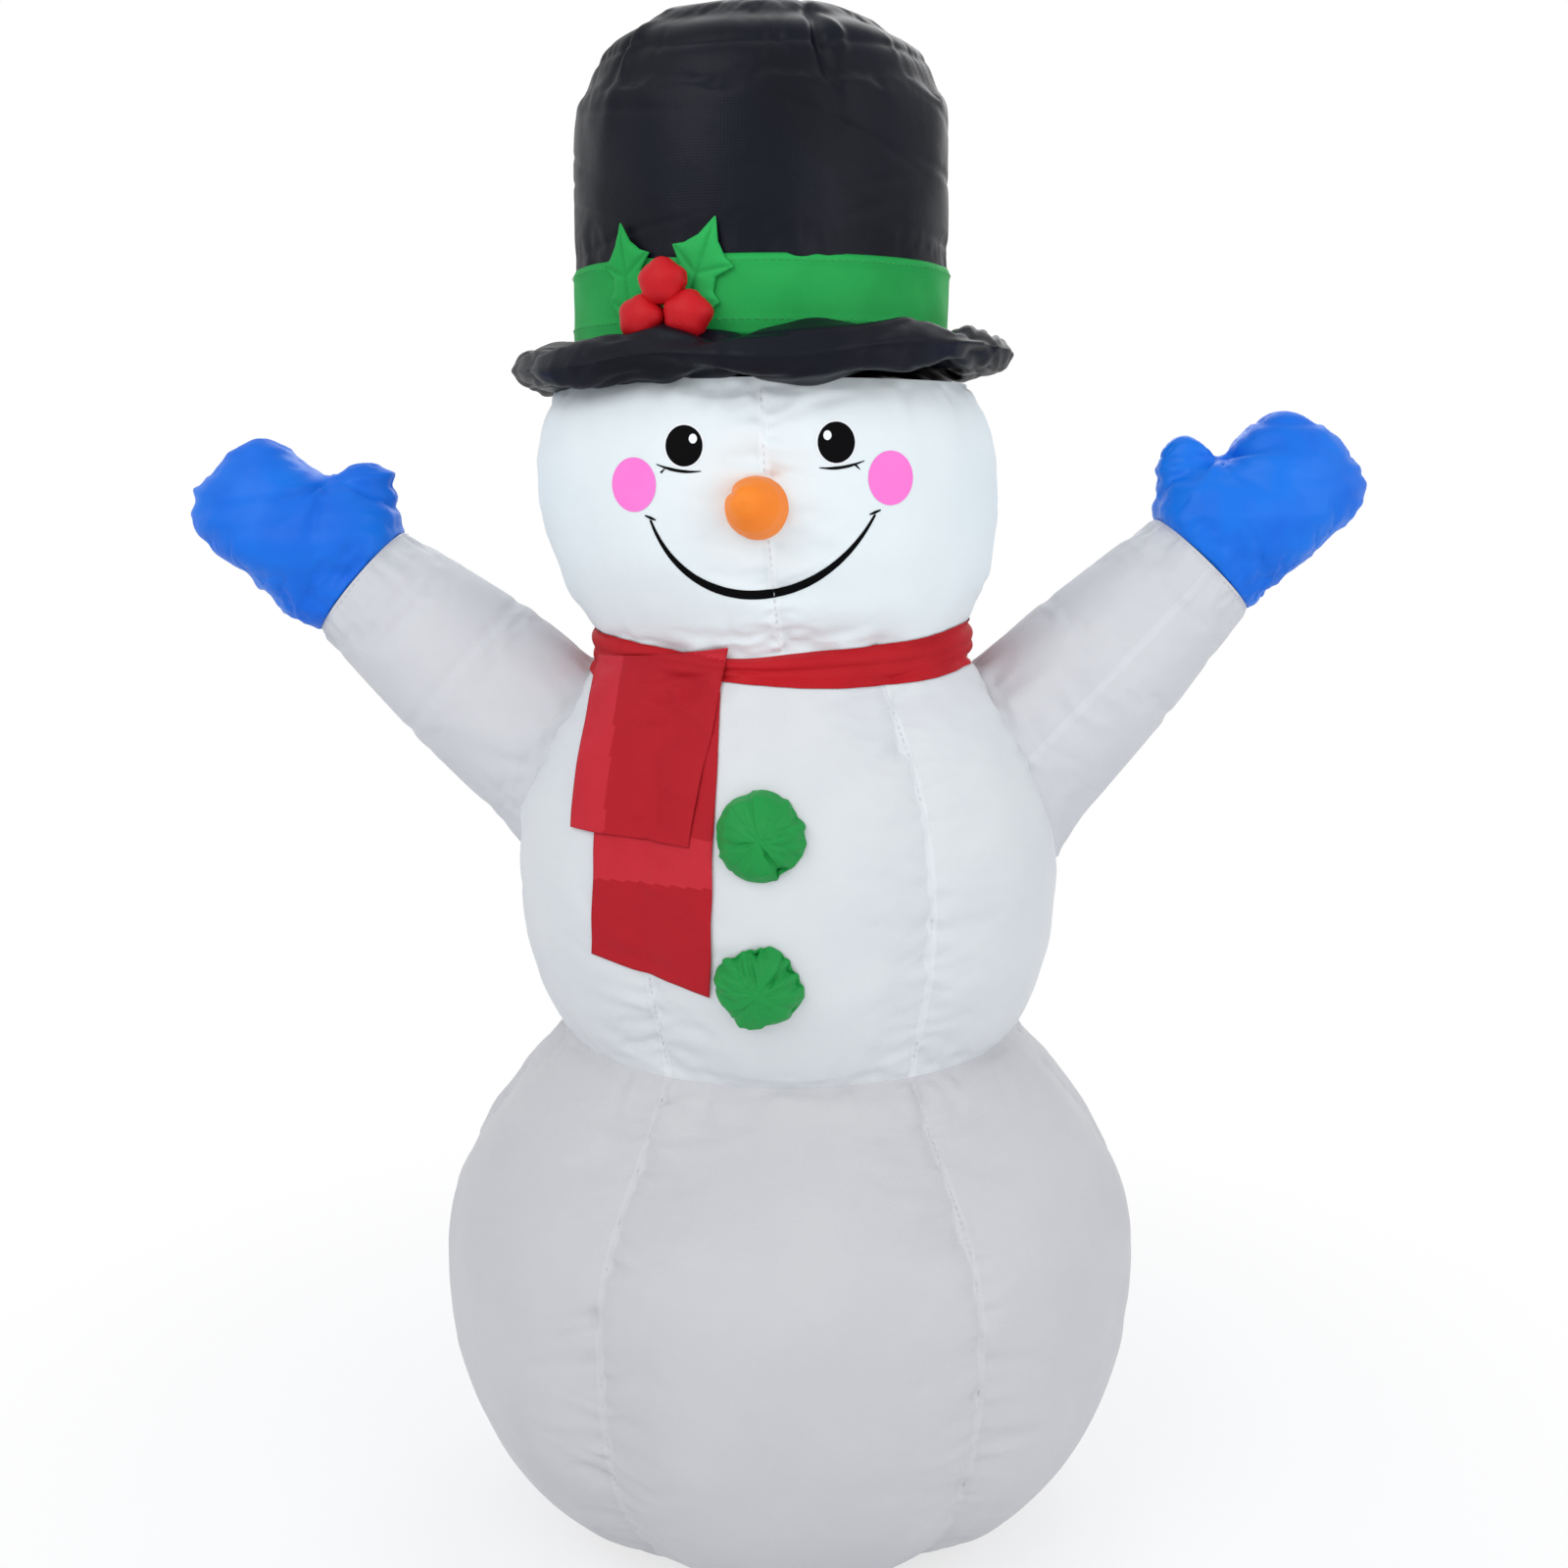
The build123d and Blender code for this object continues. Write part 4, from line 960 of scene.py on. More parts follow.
@dataclass
class Hat:
    """The top hat: a puffed brim, a crown with a gathered top, and a green band."""

    brim_inner: float = 174.0
    brim_outer: float = 250.0
    brim_thickness: float = 42.0
    brim_level: float = 1203.0
    crown_height: float = 194.0
    dome_height: float = 40.0
    seam_radius: float = 167.0
    columns: int = 200
    brim: Piece | None = None
    crown: Piece | None = None
    band: Piece | None = None

    def build_brim(self) -> Inflation:
        """Makes the brim, sewn round its outer edge."""
        rng = np.random.default_rng(7)
        turn = np.radians(np.linspace(-180, 180, self.columns, endpoint=False))[None, :]
        share = np.concatenate([np.linspace(0, 1, 17), np.linspace(1, 0, 17)[1:]])[:, None]
        under = np.concatenate([-np.ones(17), np.ones(16)])[:, None]
        reach = 1 - (1 - share) ** 1.25
        thick = (1 - np.abs(2 * reach - 1) ** 2.6).clip(0) ** 0.8
        flow = smooth_noise(turn * 200, 420, rng)
        outer = self.brim_outer + 5 * smooth_noise(turn * 200, 260, rng)
        radius = self.brim_inner + (outer - self.brim_inner) * reach
        bends = sum((rise * np.exp(-((turn - place) / size) ** 2) for place, size, rise in BRIM_BENDS),
                    5 * flow)
        level = self.brim_level + 11 * np.cos(turn) * (0.35 + 0.65 * reach) + reach * bends
        body = self.brim_thickness * (0.86 + 0.12 * smooth_noise(turn * 200, 300, rng)) / 2
        height = level + under * thick * body
        around = (turn + math.pi) * BRIM_RING
        from_edge = (1 - reach) * 76
        raised = folded(around, np.abs(from_edge - 40), math.tau * BRIM_RING, rng, (24, 3.0, 22, 60))
        for place, size, drop in BRIM_DENTS:
            slant = turn - place - (1 - reach) * 0.25
            raised = raised + drop * np.exp(-(slant / size) ** 2) * np.sin(math.pi * reach.clip(0, 1))
        ridge = 3.0 * np.sin(reach * 9 + 3 * smooth_noise(turn * 200, 330, rng)) * np.sin(math.pi * reach)
        height = height + under * (raised + ridge) * thick
        points = np.stack([HAT_X + radius * np.cos(turn), (radius + 0 * height) * np.sin(turn), height],
                          axis=2)
        self.brim = make_piece("hat_brim_skin", points, closed=True)
        held = (np.clip(1 - reach * 8, 0, 1) + 0 * height).ravel()
        gathered = (np.exp(-(from_edge / 5) ** 2) + 0 * height).ravel()
        return Inflation(self.brim, held, gathered, pressure=2.0, shrink=0.05, reach=4)

    def crown_side(self) -> tuple[np.ndarray, int]:
        """The crown's outline from under the band to the middle of its top, and the seam's row."""
        foot = np.array([[CROWN_RADIUS - 1, 1214.0], [CROWN_RADIUS - 1, BAND_TOP - 1]])
        top = BAND_TOP + self.crown_height
        seam = (self.seam_radius, top)
        wall = bezier([(CROWN_RADIUS, BAND_TOP), (178, BAND_TOP + 70), (185, BAND_TOP + 164), seam], 60)
        peak = top + self.dome_height
        dome = bezier([seam, (155, top + 22), (118, peak), (3, peak)], 40)
        lower = evenly(np.concatenate([foot, wall]), 62)
        return np.concatenate([lower, evenly(dome, 40)[1:]]), 61

    def build_crown(self) -> Inflation:
        """Makes the crown and its gathered top."""
        rng = np.random.default_rng(12)
        side, seam = self.crown_side()
        run = np.concatenate([[0], np.cumsum(np.linalg.norm(np.diff(side, axis=0), axis=1))])[:, None]
        turn = np.radians(np.linspace(-180, 180, self.columns, endpoint=False))[None, :]
        radius, height = side[:, :1], side[:, 1:]
        away = np.abs(run - run[seam])
        raised = -4 * np.exp(-away / 9)
        back = np.abs(wrapped(turn - math.pi / 2)) * CROWN_RADIUS
        raised = raised - 3 * np.exp(-back / 10)
        waves = 2.2 * smooth_noise(turn * CROWN_RING + height * 0.6, 240, rng)
        raised = raised + waves * np.clip((run - 90) / 60, 0, 1)
        raised *= np.clip((run - 50) / 30, 0, 1) * np.clip(radius / 60, 0, 1)
        slope = np.gradient(side, axis=0)
        slope /= np.linalg.norm(slope, axis=1)[:, None]
        wide = radius + raised * slope[:, 1:]
        tall = height - raised * slope[:, :1] + 3.5 * np.cos(turn * 2 + 0.6) * np.exp(-away / 30)
        points = np.stack([HAT_X + wide * np.cos(turn), wide * np.sin(turn), tall], axis=2)
        self.crown = make_piece("hat_crown_skin", points, closed=True, caps=(False, True))
        held = np.ones(len(self.crown.data.vertices))
        held[:points.shape[0] * points.shape[1]] = (np.clip(1 - (run - 74) / 20, 0, 1) + 0 * wide).ravel()
        held[-1] = 0
        gathered = np.zeros_like(held)
        gathered[:wide.size] = (np.exp(-(away / 5) ** 2) + 0 * wide).ravel()
        return Inflation(self.crown, held, gathered, pressure=3.0, shrink=0.08, reach=8)

    @staticmethod
    def ringed(piece: Piece, ring: float) -> tuple[np.ndarray, np.ndarray, np.ndarray, np.ndarray]:
        """A piece's places, their angles, their runs round a ring and their distances from the hat's axis."""
        places = places_of(piece) / MM
        turn = np.arctan2(places[:, 1], places[:, 0] - HAT_X)
        return places, turn, (turn + math.pi) * ring, np.hypot(places[:, 0] - HAT_X, places[:, 1])

    def crease(self) -> None:
        """Adds the pleats at the crown's top seam and foot, and the folds of the brim."""
        rng = np.random.default_rng(13)
        places, turn, around, radius = self.ringed(self.crown, CROWN_RING)
        seam_height = BAND_TOP + self.crown_height
        away = np.hypot(np.clip(self.seam_radius - 1 - radius, 0, None), np.abs(places[:, 2] - seam_height))
        total = folded(around, away, math.tau * CROWN_RING, rng, (14, 11.0, 5.5, 36), (60, 2.8, 4.5, 13),
                       (7, 8.0, 8, 66))
        total -= 2.0 * np.exp(-away / 4)
        foot = np.abs(places[:, 2] - BAND_TOP)
        total += folded(around, foot, math.tau * CROWN_RING, rng, (46, 2.6, 8, 26))
        total += long_creases(turn, places[:, 2], CROWN_RADIUS, 16, 1.3, (BAND_TOP + 20, seam_height - 50),
                              (3, 6), (30, 80), rng)
        creased(self.crown, total * np.clip((places[:, 2] - 1250) / 20, 0, 1) * np.clip(radius / 50, 0, 1))
        _, turn, around, radius = self.ringed(self.brim, BRIM_RING)
        edge = np.clip(self.brim_outer + 4 - radius, 0, None)
        total = folded(around, edge, math.tau * BRIM_RING, rng, (40, 2.0, 4.5, 16), (12, 3.0, 9, 50))
        total += long_creases(turn, edge, 225, 52, 2.8, (2, 45), (2.5, 5), (22, 75), rng)
        creased(self.brim, total * np.clip((radius - 190) / 15, 0, 1))

    def build_band(self) -> None:
        """Makes the band, lying on the crown's foot with a hem along each edge."""
        rng = np.random.default_rng(15)
        turn = np.radians(np.linspace(-180, 180, self.columns, endpoint=False))[None, :]
        height = np.linspace(1218, BAND_TOP + 1, 22)[:, None]
        hem = 0.9 * (1 - np.clip(np.abs(np.minimum(height - 1226, BAND_TOP - height) - 5) / 4, 0, 1))
        radius = CROWN_RADIUS + 2.2 + hem + 0.9 * smooth_noise(turn * 181 + height, 150, rng)
        radius = radius - 1.6 * np.clip((height - BAND_TOP + 3) / 4, 0, 1)
        tilt = 1.5 * np.cos(turn) * np.clip((height - 1226) / 60, 0, 1)
        points = np.stack([HAT_X + radius * np.cos(turn), radius * np.sin(turn), height + tilt], axis=2)
        self.band = make_piece("hat_band_cloth", points, closed=True)
        thick = self.band.modifiers.new("cloth", "SOLIDIFY")
        thick.thickness, thick.offset = 0.8 * MM, -1
        baked(self.band)

    def dress(self) -> None:
        """Finishes the hat."""
        finished(self.brim, Finish.BLACK_CLOTH, nodes=("hat_brim",))
        finished(self.crown, Finish.BLACK_CLOTH, nodes=("hat_crown", "hat_top"))
        finished(self.band, Finish.BAND_CLOTH, nodes=("hat_band",))


@dataclass
class Holly:
    """Two quilted leaves and three puffed berries on the hat band."""

    berry_radius: float = 21.0
    leaves: tuple[tuple[str, float, float, float], ...] = (
        ("right", -129.8, -10.0, 1.0), ("left", -107.5, 20.0, 1.06))
    berries: tuple[tuple[float, float], ...] = ((-114.0, 37.0), (-120.0, 7.0), (-107.5, 9.0))
    outline: tuple[Point2, ...] = (         # half a leaf's width at heights above and below its middle
        (-46, 9), (-34, 15), (-14, 27), (-8, 19), (4, 17), (17, 29), (22, 19), (32, 9), (50, 0.6))
    spikes: Point2 = (-14, 17)              # heights of its side veins
    leaf_rise: float = 44.0

    def on_band(self, angle: np.ndarray, height: np.ndarray, out: np.ndarray) -> np.ndarray:
        """Places on the band, from an angle, a height and a distance off it."""
        radius = CROWN_RADIUS + 5 + out
        return np.stack([HAT_X + radius * np.cos(np.radians(angle)), radius * np.sin(np.radians(angle)),
                         height + 0 * radius], axis=-1)

    def build(self) -> None:
        """Makes and finishes the leaves and berries."""
        levels = [np.linspace(a[0], b[0], 7)[:-1] for a, b in zip(self.outline, self.outline[1:])]
        levels = np.concatenate(levels + [[self.outline[-1][0]]])
        half = profile(levels, self.outline)[:, None]
        share = np.linspace(-1, 1, 31)[None, :]
        for name, angle, tilt, size in self.leaves:
            across, up = share * half * size, (levels[:, None] + 0 * share) * size
            veins = np.exp(-np.abs(across) / 2.0)
            for spike in self.spikes:
                line = np.abs(up - size * (spike - 16) - np.abs(across) * 0.6)
                veins = np.maximum(veins, 0.8 * np.exp(-line / 2.0) * (np.abs(across) < half * size * 0.9))
            puff = 4.6 * np.sqrt(np.clip(1 - share ** 2, 0, 1)) * np.clip(half / 8, 0.2, 1) - 3.2 * veins
            turn = math.radians(tilt)
            x = across * math.cos(turn) + up * math.sin(turn)
            y = -across * math.sin(turn) + up * math.cos(turn)
            front, back = (self.on_band(angle + np.degrees(x / (CROWN_RADIUS + 5)),
                                        BRIM_TOP + self.leaf_rise + y, out)
                           for out in (puff.clip(0.4) + 0.6, 0 * puff))
            shell = np.concatenate([front, back[:, ::-1]], axis=1)
            leaf = make_piece(f"holly_leaf_{name}_cloth", shell, closed=True, caps=(True, True))
            finished(leaf, Finish.LEAF_CLOTH, nodes=(f"holly_leaf_{name}",))
        skins = []
        for index, (angle, rise) in enumerate(self.berries):
            rng = np.random.default_rng(60 + index)
            polar = np.linspace(0.02, math.pi - 0.02, 34)[:, None]
            turn = np.linspace(0, math.tau, 60, endpoint=False)[None, :]
            edge = np.abs(polar - math.pi / 2) * self.berry_radius
            gathers = folded(turn * 20, edge, math.tau * 20, rng, (26, 1.5, 2.0, 7))
            corners = 1.4 * np.cos(turn * 5 + rng.uniform(0, 6))
            radius = self.berry_radius + gathers - 2.2 * np.exp(-edge / 1.6) + corners * np.sin(polar)
            x = radius * np.sin(polar) * np.cos(turn)
            y = radius * np.sin(polar) * np.sin(turn)
            out = 17 - 0.8 * self.berry_radius * np.cos(polar) - 0 * x
            skins.append(make_piece(f"berry_{index}", self.on_band(
                angle + np.degrees(x / 195), BRIM_TOP + rise + y, out + 5.0), closed=True, caps=(True, True)))
        joined(skins, "holly_berries_skin")
        finished(skins[0], Finish.BERRY_CLOTH, nodes=("holly_berries",))


def joined(pieces: list[Piece], name: str) -> Piece:
    """Runs several pieces into the first one."""
    with bpy.context.temp_override(active_object=pieces[0], selected_editable_objects=pieces):
        bpy.ops.object.join()
    pieces[0].name = name
    return pieces[0]


# ---------------------------------------------------------------- face and buttons

@dataclass
class Face:
    """The printed face and the puffed nose."""

    eyes: tuple[Point2, ...] = ((-94.0, 1121.0), (40.0, 1124.0))
    eye_radius: float = 16.5
    cheeks: tuple[Point2, ...] = ((-140.0, 1087.0), (89.0, 1093.0))
    cheek_size: Point2 = (20.5, 24.0)
    nose: Point2 = (-28.0, 1066.0)
    nose_radius: float = 28.5
    smile: tuple[Point2, ...] = ((-125, 1056), (-92, 966), (24, 966), (75, 1061))
    smile_widths: tuple[float, ...] = (2.0, 5.0, 7.6, 8.2, 7.6, 5.0, 2.0)

    def disc(self, ground: Ground, middle: Point2, size: Point2, lift: float) -> np.ndarray:
        """Rings of points for a printed disc lying on the head."""
        share = np.linspace(1, 0.02, 8)[:, None]
        turn = np.linspace(0, math.tau, 48, endpoint=False)[None, :]
        return self.laid(ground, middle[0] + size[0] * share * np.cos(turn),
                         middle[1] + size[1] * share * np.sin(turn), lift)

    def laid(self, ground: Ground, x: np.ndarray, z: np.ndarray, lift: float) -> np.ndarray:
        """Lays points on the head, lifted a little off it."""
        points = np.empty((*x.shape, 3))
        for spot in np.ndindex(x.shape):
            place, normal = ground.front(float(x[spot]), float(z[spot]))
            points[spot] = place + normal * lift
        return points

    def stroke(self, ground: Ground, line: np.ndarray, widths: tuple[float, ...], lift: float) -> np.ndarray:
        """A printed line of changing width."""
        line = evenly(line, 60 if len(line) > 12 else 20)
        along = np.gradient(line, axis=0)
        across = np.stack([-along[:, 1], along[:, 0]], axis=1)
        across /= np.linalg.norm(across, axis=1)[:, None]
        width = np.interp(np.linspace(0, 1, len(line)), np.linspace(0, 1, len(widths)), widths)[:, None] / 2
        edges = [line + across * width * s for s in (1, 0.33, -0.33, -1)]
        return self.laid(ground, np.stack([e[:, 0] for e in edges]), np.stack([e[:, 1] for e in edges]), lift)

    def build(self, ground: Ground) -> None:
        """Makes and finishes the print and the nose."""
        black, white, pink = [], [], []
        for side, (x, z) in zip((-1, 1), self.eyes):
            black.append(make_piece("eye", self.disc(ground, (x, z), (self.eye_radius, 18.0), 0.5),
                                    closed=True, caps=(False, True)))
            white.append(make_piece("glint", self.disc(ground, (x - side * 8.0, z + 6.0), (3.6, 4.2), 0.9),
                                    closed=True, caps=(False, True)))
            white.append(make_piece("halo", self.disc(ground, (x, z), (self.eye_radius + 1.6, 19.6), 0.25),
                                    closed=True, caps=(False, True)))
            lash = bezier([(x - side * 15, z - 22), (x - side * 2, z - 23.5), (x + side * 10, z - 22),
                           (x + side * 25, z - 16)], 12)
            if side < 0:
                lash = lash[::-1]
            black.append(make_piece("lash", self.stroke(ground, lash, (0.8, 2.8, 2.6, 0.8), 0.45)))
            tick = np.array([(x + side * 17, z - 19.5), (x + side * 21, z - 23.5)])
            black.append(make_piece("tick", self.stroke(ground, tick if side > 0 else tick[::-1],
                                                        (2.0, 0.8), 0.45)))
        for x, z in self.cheeks:
            pink.append(make_piece("cheek", self.disc(ground, (x, z), self.cheek_size, 0.4),
                                   closed=True, caps=(False, True)))
        smile = bezier(self.smile, 40)
        black.append(make_piece("smile", self.stroke(ground, smile, self.smile_widths, 0.5)))
        for end, out in (((-125, 1057), -1), ((75, 1062), 1)):
            serif = np.array([(end[0] - 5, end[1] + 1 - out * 2), (end[0] + 5, end[1] + 1 + out * 2)])
            black.append(make_piece("serif", self.stroke(ground, serif, (1.2, 2.6, 1.2), 0.5)))
        for pieces, name, finish in ((black, "face_print_black", Finish.PRINT_BLACK),
                                     (white, "face_print_white", Finish.PRINT_WHITE),
                                     (pink, "face_print_pink", Finish.PRINT_PINK)):
            finished(joined(pieces, name), finish)
        self.build_nose(ground)

    def build_nose(self, ground: Ground) -> None:
        """Makes and finishes the nose."""
        rng = np.random.default_rng(71)
        share = np.linspace(0, 1, 36)[:, None]
        turn = np.linspace(0, math.tau, 72, endpoint=False)[None, :]
        radius = self.nose_radius * np.interp(share, (0, 0.08, 0.3, 0.6, 0.85, 0.95, 1),
                                              (0.93, 1.0, 0.99, 0.84, 0.5, 0.25, 0.02))
        edge = share * 58
        gathers = folded(turn * 31, edge, math.tau * 31, rng, (30, 1.6, 3.0, 12))
        seam = np.abs(wrapped(turn - 2.6)) * radius
        sunk = 4.5 * np.exp(-seam / 4) * np.sin(math.pi * share.clip(0, 1))
        radius = radius + gathers * (share < 0.9) - sunk
        centre, _ = ground.front(*self.nose)
        x = self.nose[0] + radius * np.cos(turn) - 13 * share ** 1.5
        z = self.nose[1] + radius * np.sin(turn) * 0.99 + 9 * share ** 1.5
        y = centre.y + 14 - 72 * share + 0 * x
        nose = make_piece("nose_skin", np.stack([x, y, z], axis=2), closed=True, caps=(False, True))
        finished(smoothed(nose), Finish.NOSE_CLOTH, nodes=("nose",))


@dataclass
class Button:
    """A puffed, gathered button on the torso."""

    name: str
    x: float
    z: float
    seed: int
    radius: float = 42.0
    puff: float = 22.0
    piece: Piece | None = None

    def build(self, ground: Ground) -> Inflation:
        """Makes the button and returns how it is inflated."""
        rng = np.random.default_rng(self.seed)
        share = np.concatenate([np.linspace(0, 0.5, 6)[:-1], np.linspace(0.5, 1, 24)])[:, None]
        turn = np.linspace(0, math.tau, 110, endpoint=False)[None, :]
        reach = np.interp(share, (0, 0.25, 0.3, 0.5, 1), (0.8, 1.0, 0.995, 0.86, 0.02))
        outline = self.radius * (1 + 0.025 * smooth_noise(turn * 40, 60, rng) + 0.02 * np.cos(turn * 4 + 1))
        rise = self.puff * np.sqrt(np.clip(1 - reach ** 2, 0, 1)) * np.where(share < 0.25, -0.1, 1)
        away = (1 - reach) * self.radius
        folds = folded(turn * 40, away, math.tau * 40, rng, (34, 3.6, 3.2, 13), (7, 4.0, 5.0, 34))
        rise = rise + folds * np.clip(away / 4, 0, 1) * np.clip(reach * 2.5, 0, 1) * (share > 0.25)
        x = self.x + outline * reach * np.cos(turn)
        z = self.z + outline * reach * np.sin(turn)
        points = np.empty((*x.shape, 3))
        for spot in np.ndindex(x.shape):
            place, _ = ground.front(float(x[spot]), float(z[spot]))
            points[spot] = place
        slope = ground.front(self.x, self.z)[1]
        points += (rise + 2.0)[..., None] * np.array(slope)
        self.piece = make_piece(f"{self.name}_button_skin", points, closed=True, caps=(False, True))
        count = len(self.piece.data.vertices)
        held, gathered = np.zeros(count), np.zeros(count)
        held[:rise.size] = (np.clip(1 - (share - 0.2) * 6, 0, 1) + 0 * rise).ravel()
        gathered[:rise.size] = (np.exp(-(away / 3) ** 2) + 0 * rise).ravel()
        return Inflation(self.piece, held, gathered, pressure=4.0, shrink=0.12, reach=5)

    def dress(self) -> None:
        """Adds the small folds at the button's rim and finishes it."""
        rng = np.random.default_rng(self.seed + 30)
        piece = smoothed(self.piece)
        places = places_of(piece) / MM
        off = np.hypot(places[:, 0] - self.x, places[:, 2] - self.z)
        away = self.radius - off
        around = np.arctan2(places[:, 2] - self.z, places[:, 0] - self.x) % math.tau * 40
        folds = folded(around, away, math.tau * 40, rng, (30, 4.5, 3.5, 14), (8, 5.0, 5.0, 34))
        creased(piece, folds * np.clip(away / 4, 0, 1) * np.clip(off / 12, 0, 1))
        finished(piece, Finish.BUTTON_CLOTH, nodes=(f"{self.name}_button",))


# ---------------------------------------------------------------- scarf

@dataclass
class Scarf:
    """The scarf: a folded wrap round the neck and two tails over the chest."""

    wrap: Piece | None = None
    wrap_low: float = 903.0
    wrap_high: float = 947.0
    wrap_radius: float = 184.0
    # Lower left, lower right, upper right and upper left corner of each tail
    long_corners: tuple[Point2, ...] = ((-187, 655), (-74, 631), (-64, 900), (-172, 906))
    short_corners: tuple[Point2, ...] = ((-205, 773), (-92, 768), (-57, 939), (-190, 921))

    def build_wrap(self, ground: Ground) -> None:
        """Makes and finishes the wrap."""
        rng = np.random.default_rng(81)
        angle = np.linspace(-180, 180, 260, endpoint=False)
        share = np.linspace(0, 1, 26)
        points = np.empty((len(share), len(angle), 3))
        flow = smooth_noise(angle, 170, rng)
        for column, turn in enumerate(angle):
            right = math.exp(-((turn + 12) / 26) ** 2)
            front = math.exp(-((turn + 90) / 55) ** 2)
            low = self.wrap_low + 9 * right + 2.5 * flow[column] + 7 * math.exp(-((turn + 115) / 22) ** 2)
            dip = 9 * math.exp(-((turn + 104) / 20) ** 2)
            high = self.wrap_high + 8 * right - 10 * front - dip + 3 * flow[column]
            for row, part in enumerate(share):
                height = low + (high - low) * part
                middle = float(lean(height))
                place, _ = ground.round(float(turn), height, middle)
                skin = math.hypot(place.x - middle, place.y)
                pleat = 3.2 * abs(math.sin(math.pi * (2.0 * part + 0.25 * flow[column]))) ** 0.8
                swell = math.sin(math.pi * part)
                bulge = self.wrap_radius + 4 * swell ** 0.7 + pleat + 5 * right * swell
                tucked = 7 * (abs(2 * part - 1) ** 6)
                radius = max(skin + 1.6, bulge - tucked)
                points[row, column] = (middle + radius * math.cos(math.radians(turn)),
                                       radius * math.sin(math.radians(turn)), height)
        self.wrap = make_piece("scarf_wrap_cloth", points, closed=True)
        finished(self.wrap, Finish.WRAP_CLOTH, nodes=("scarf_wrap",))

    def tail(self, name: str, ground: Ground, corners: tuple[Point2, ...], lift: float,
             waves: float, seed: int, marks: object) -> Piece:
        """Lays one tail over the chest.

        Args:
            name: The piece's name.
            ground: What the tail lies on.
            corners: Lower left, lower right, upper right and upper left corner as x and height.
            lift: How far it lies off the ground.
            waves: Height of its soft folds.
            seed: Seed of the folds.
            marks: Says, for x and height, where the cloth is doubled.
        Returns:
            The tail.
        """
        rng = np.random.default_rng(seed)
        low_left, low_right, high_right, high_left = (np.array(c) for c in corners)
        u, v = np.linspace(0, 1, 46)[None, :, None], np.linspace(0, 1, 92)[:, None, None]
        flat = (low_left * (1 - u) + low_right * u) * (1 - v) + (high_left * (1 - u) + high_right * u) * v
        x, z = flat[..., 0], flat[..., 1]
        x = x + 2.5 * smooth_noise(z, 170, rng) * (1 - v[..., 0])
        points = np.empty((*x.shape, 3))
        for spot in np.ndindex(x.shape):
            place, _ = ground.front(float(x[spot]), float(z[spot]))
            points[spot] = (x[spot], place.y, z[spot])
        for _ in range(6):
            inner = points[1:-1, 1:-1, 1]
            average = points[:-2, 1:-1, 1] + points[2:, 1:-1, 1]
            average = (average + points[1:-1, :-2, 1] + points[1:-1, 2:, 1]) / 4
            points[1:-1, 1:-1, 1] = np.minimum(inner, average)
        fold = smooth_noise(x * 1.2 + 0.25 * z, 95, rng) + 0.5 * smooth_noise(x + z, 140, rng)
        points[..., 1] -= lift + waves * (1 + fold) * (1 - 0.4 * v[..., 0])
        tail = make_piece(name, points, marks={"layers": marks(x, z).astype(float)})
        thick = tail.modifiers.new("cloth", "SOLIDIFY")
        thick.thickness, thick.offset = 0.5 * MM, -1
        return baked(tail)

    def build_tails(self, skins: Ground, over_wrap: Ground) -> None:
        """Makes and finishes both tails."""
        long_tail = self.tail(
            "scarf_long_tail_cloth", skins, self.long_corners, 1.6, 1.2, 91,
            lambda x, z: (z < 731 + 0.04 * (x + 130)) | (z > 776))
        WARDROBE.dress(long_tail, Finish.SCARF_CLOTH)
        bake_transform(long_tail)
        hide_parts("scarf_long_tail")
        short_tail = self.tail(
            "scarf_short_tail_cloth", over_wrap, self.short_corners, 3.4, 1.6,
            93, lambda x, z: (x > -172 + 0.08 * (z - 773)) & (z < 929 - 0.2 * (x + 70)))
        WARDROBE.dress(short_tail, Finish.SCARF_CLOTH)
        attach(short_tail, "scarf_short_tail")
        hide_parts("scarf_short_tail")
        log.info("scarf tails laid")


# ---------------------------------------------------------------- fan, zipper and tether points

@dataclass
class Fan:
    """The fan in the back of the lower ball, and the cloth sleeve clamped round it."""

    height: float = 110.0
    surface: float = 316.674
    tilt: float = 28.0
    sleeve_radius: float = 65.0
    sleeve_end: float = 22.0

    def centre(self) -> np.ndarray:
        """Where the fan's axis passes through the skin."""
        return np.array([0.0, self.surface, self.height])

    def out(self) -> np.ndarray:
        """The direction in which the fan's axis leaves the skin."""
        return np.array([0.0, math.cos(math.radians(self.tilt)), -math.sin(math.radians(self.tilt))])

    def build(self) -> None:
        """Makes and finishes the sleeve."""
        rng = np.random.default_rng(31)
        along = np.linspace(-34, self.sleeve_end, 30)[:, None]
        turn = np.linspace(0, math.tau, 120, endpoint=False)[None, :]
        clamp = np.exp(-((along - 14) / 6) ** 2)
        radius = self.sleeve_radius + (1.6 * smooth_noise(turn * 65, 34, rng) + 1.2) * (1 - clamp)
        radius = radius + 5 * np.exp(-(along + 34) / 10)
        up = np.cross(np.array([1.0, 0, 0]), self.out())
        side = np.cross(up, self.out())
        points = (self.centre() + along[..., None] * self.out() + (radius * np.cos(turn))[..., None] * side
                  + (radius * np.sin(turn))[..., None] * up)
        sleeve = make_piece("fan_sleeve_cloth", points, closed=True)
        volume_out = points[10, 0] - self.centre()
        if sleeve.data.polygons[0].normal.dot(Vector(volume_out)) < 0:
            sleeve.data.flip_normals()
        thick = sleeve.modifiers.new("cloth", "SOLIDIFY")
        thick.thickness, thick.offset = 0.6 * MM, 1
        baked(sleeve)
        finished(sleeve, Finish.LOWER_CLOTH_PAINTED_LIGHT, nodes=("fan_sleeve",))


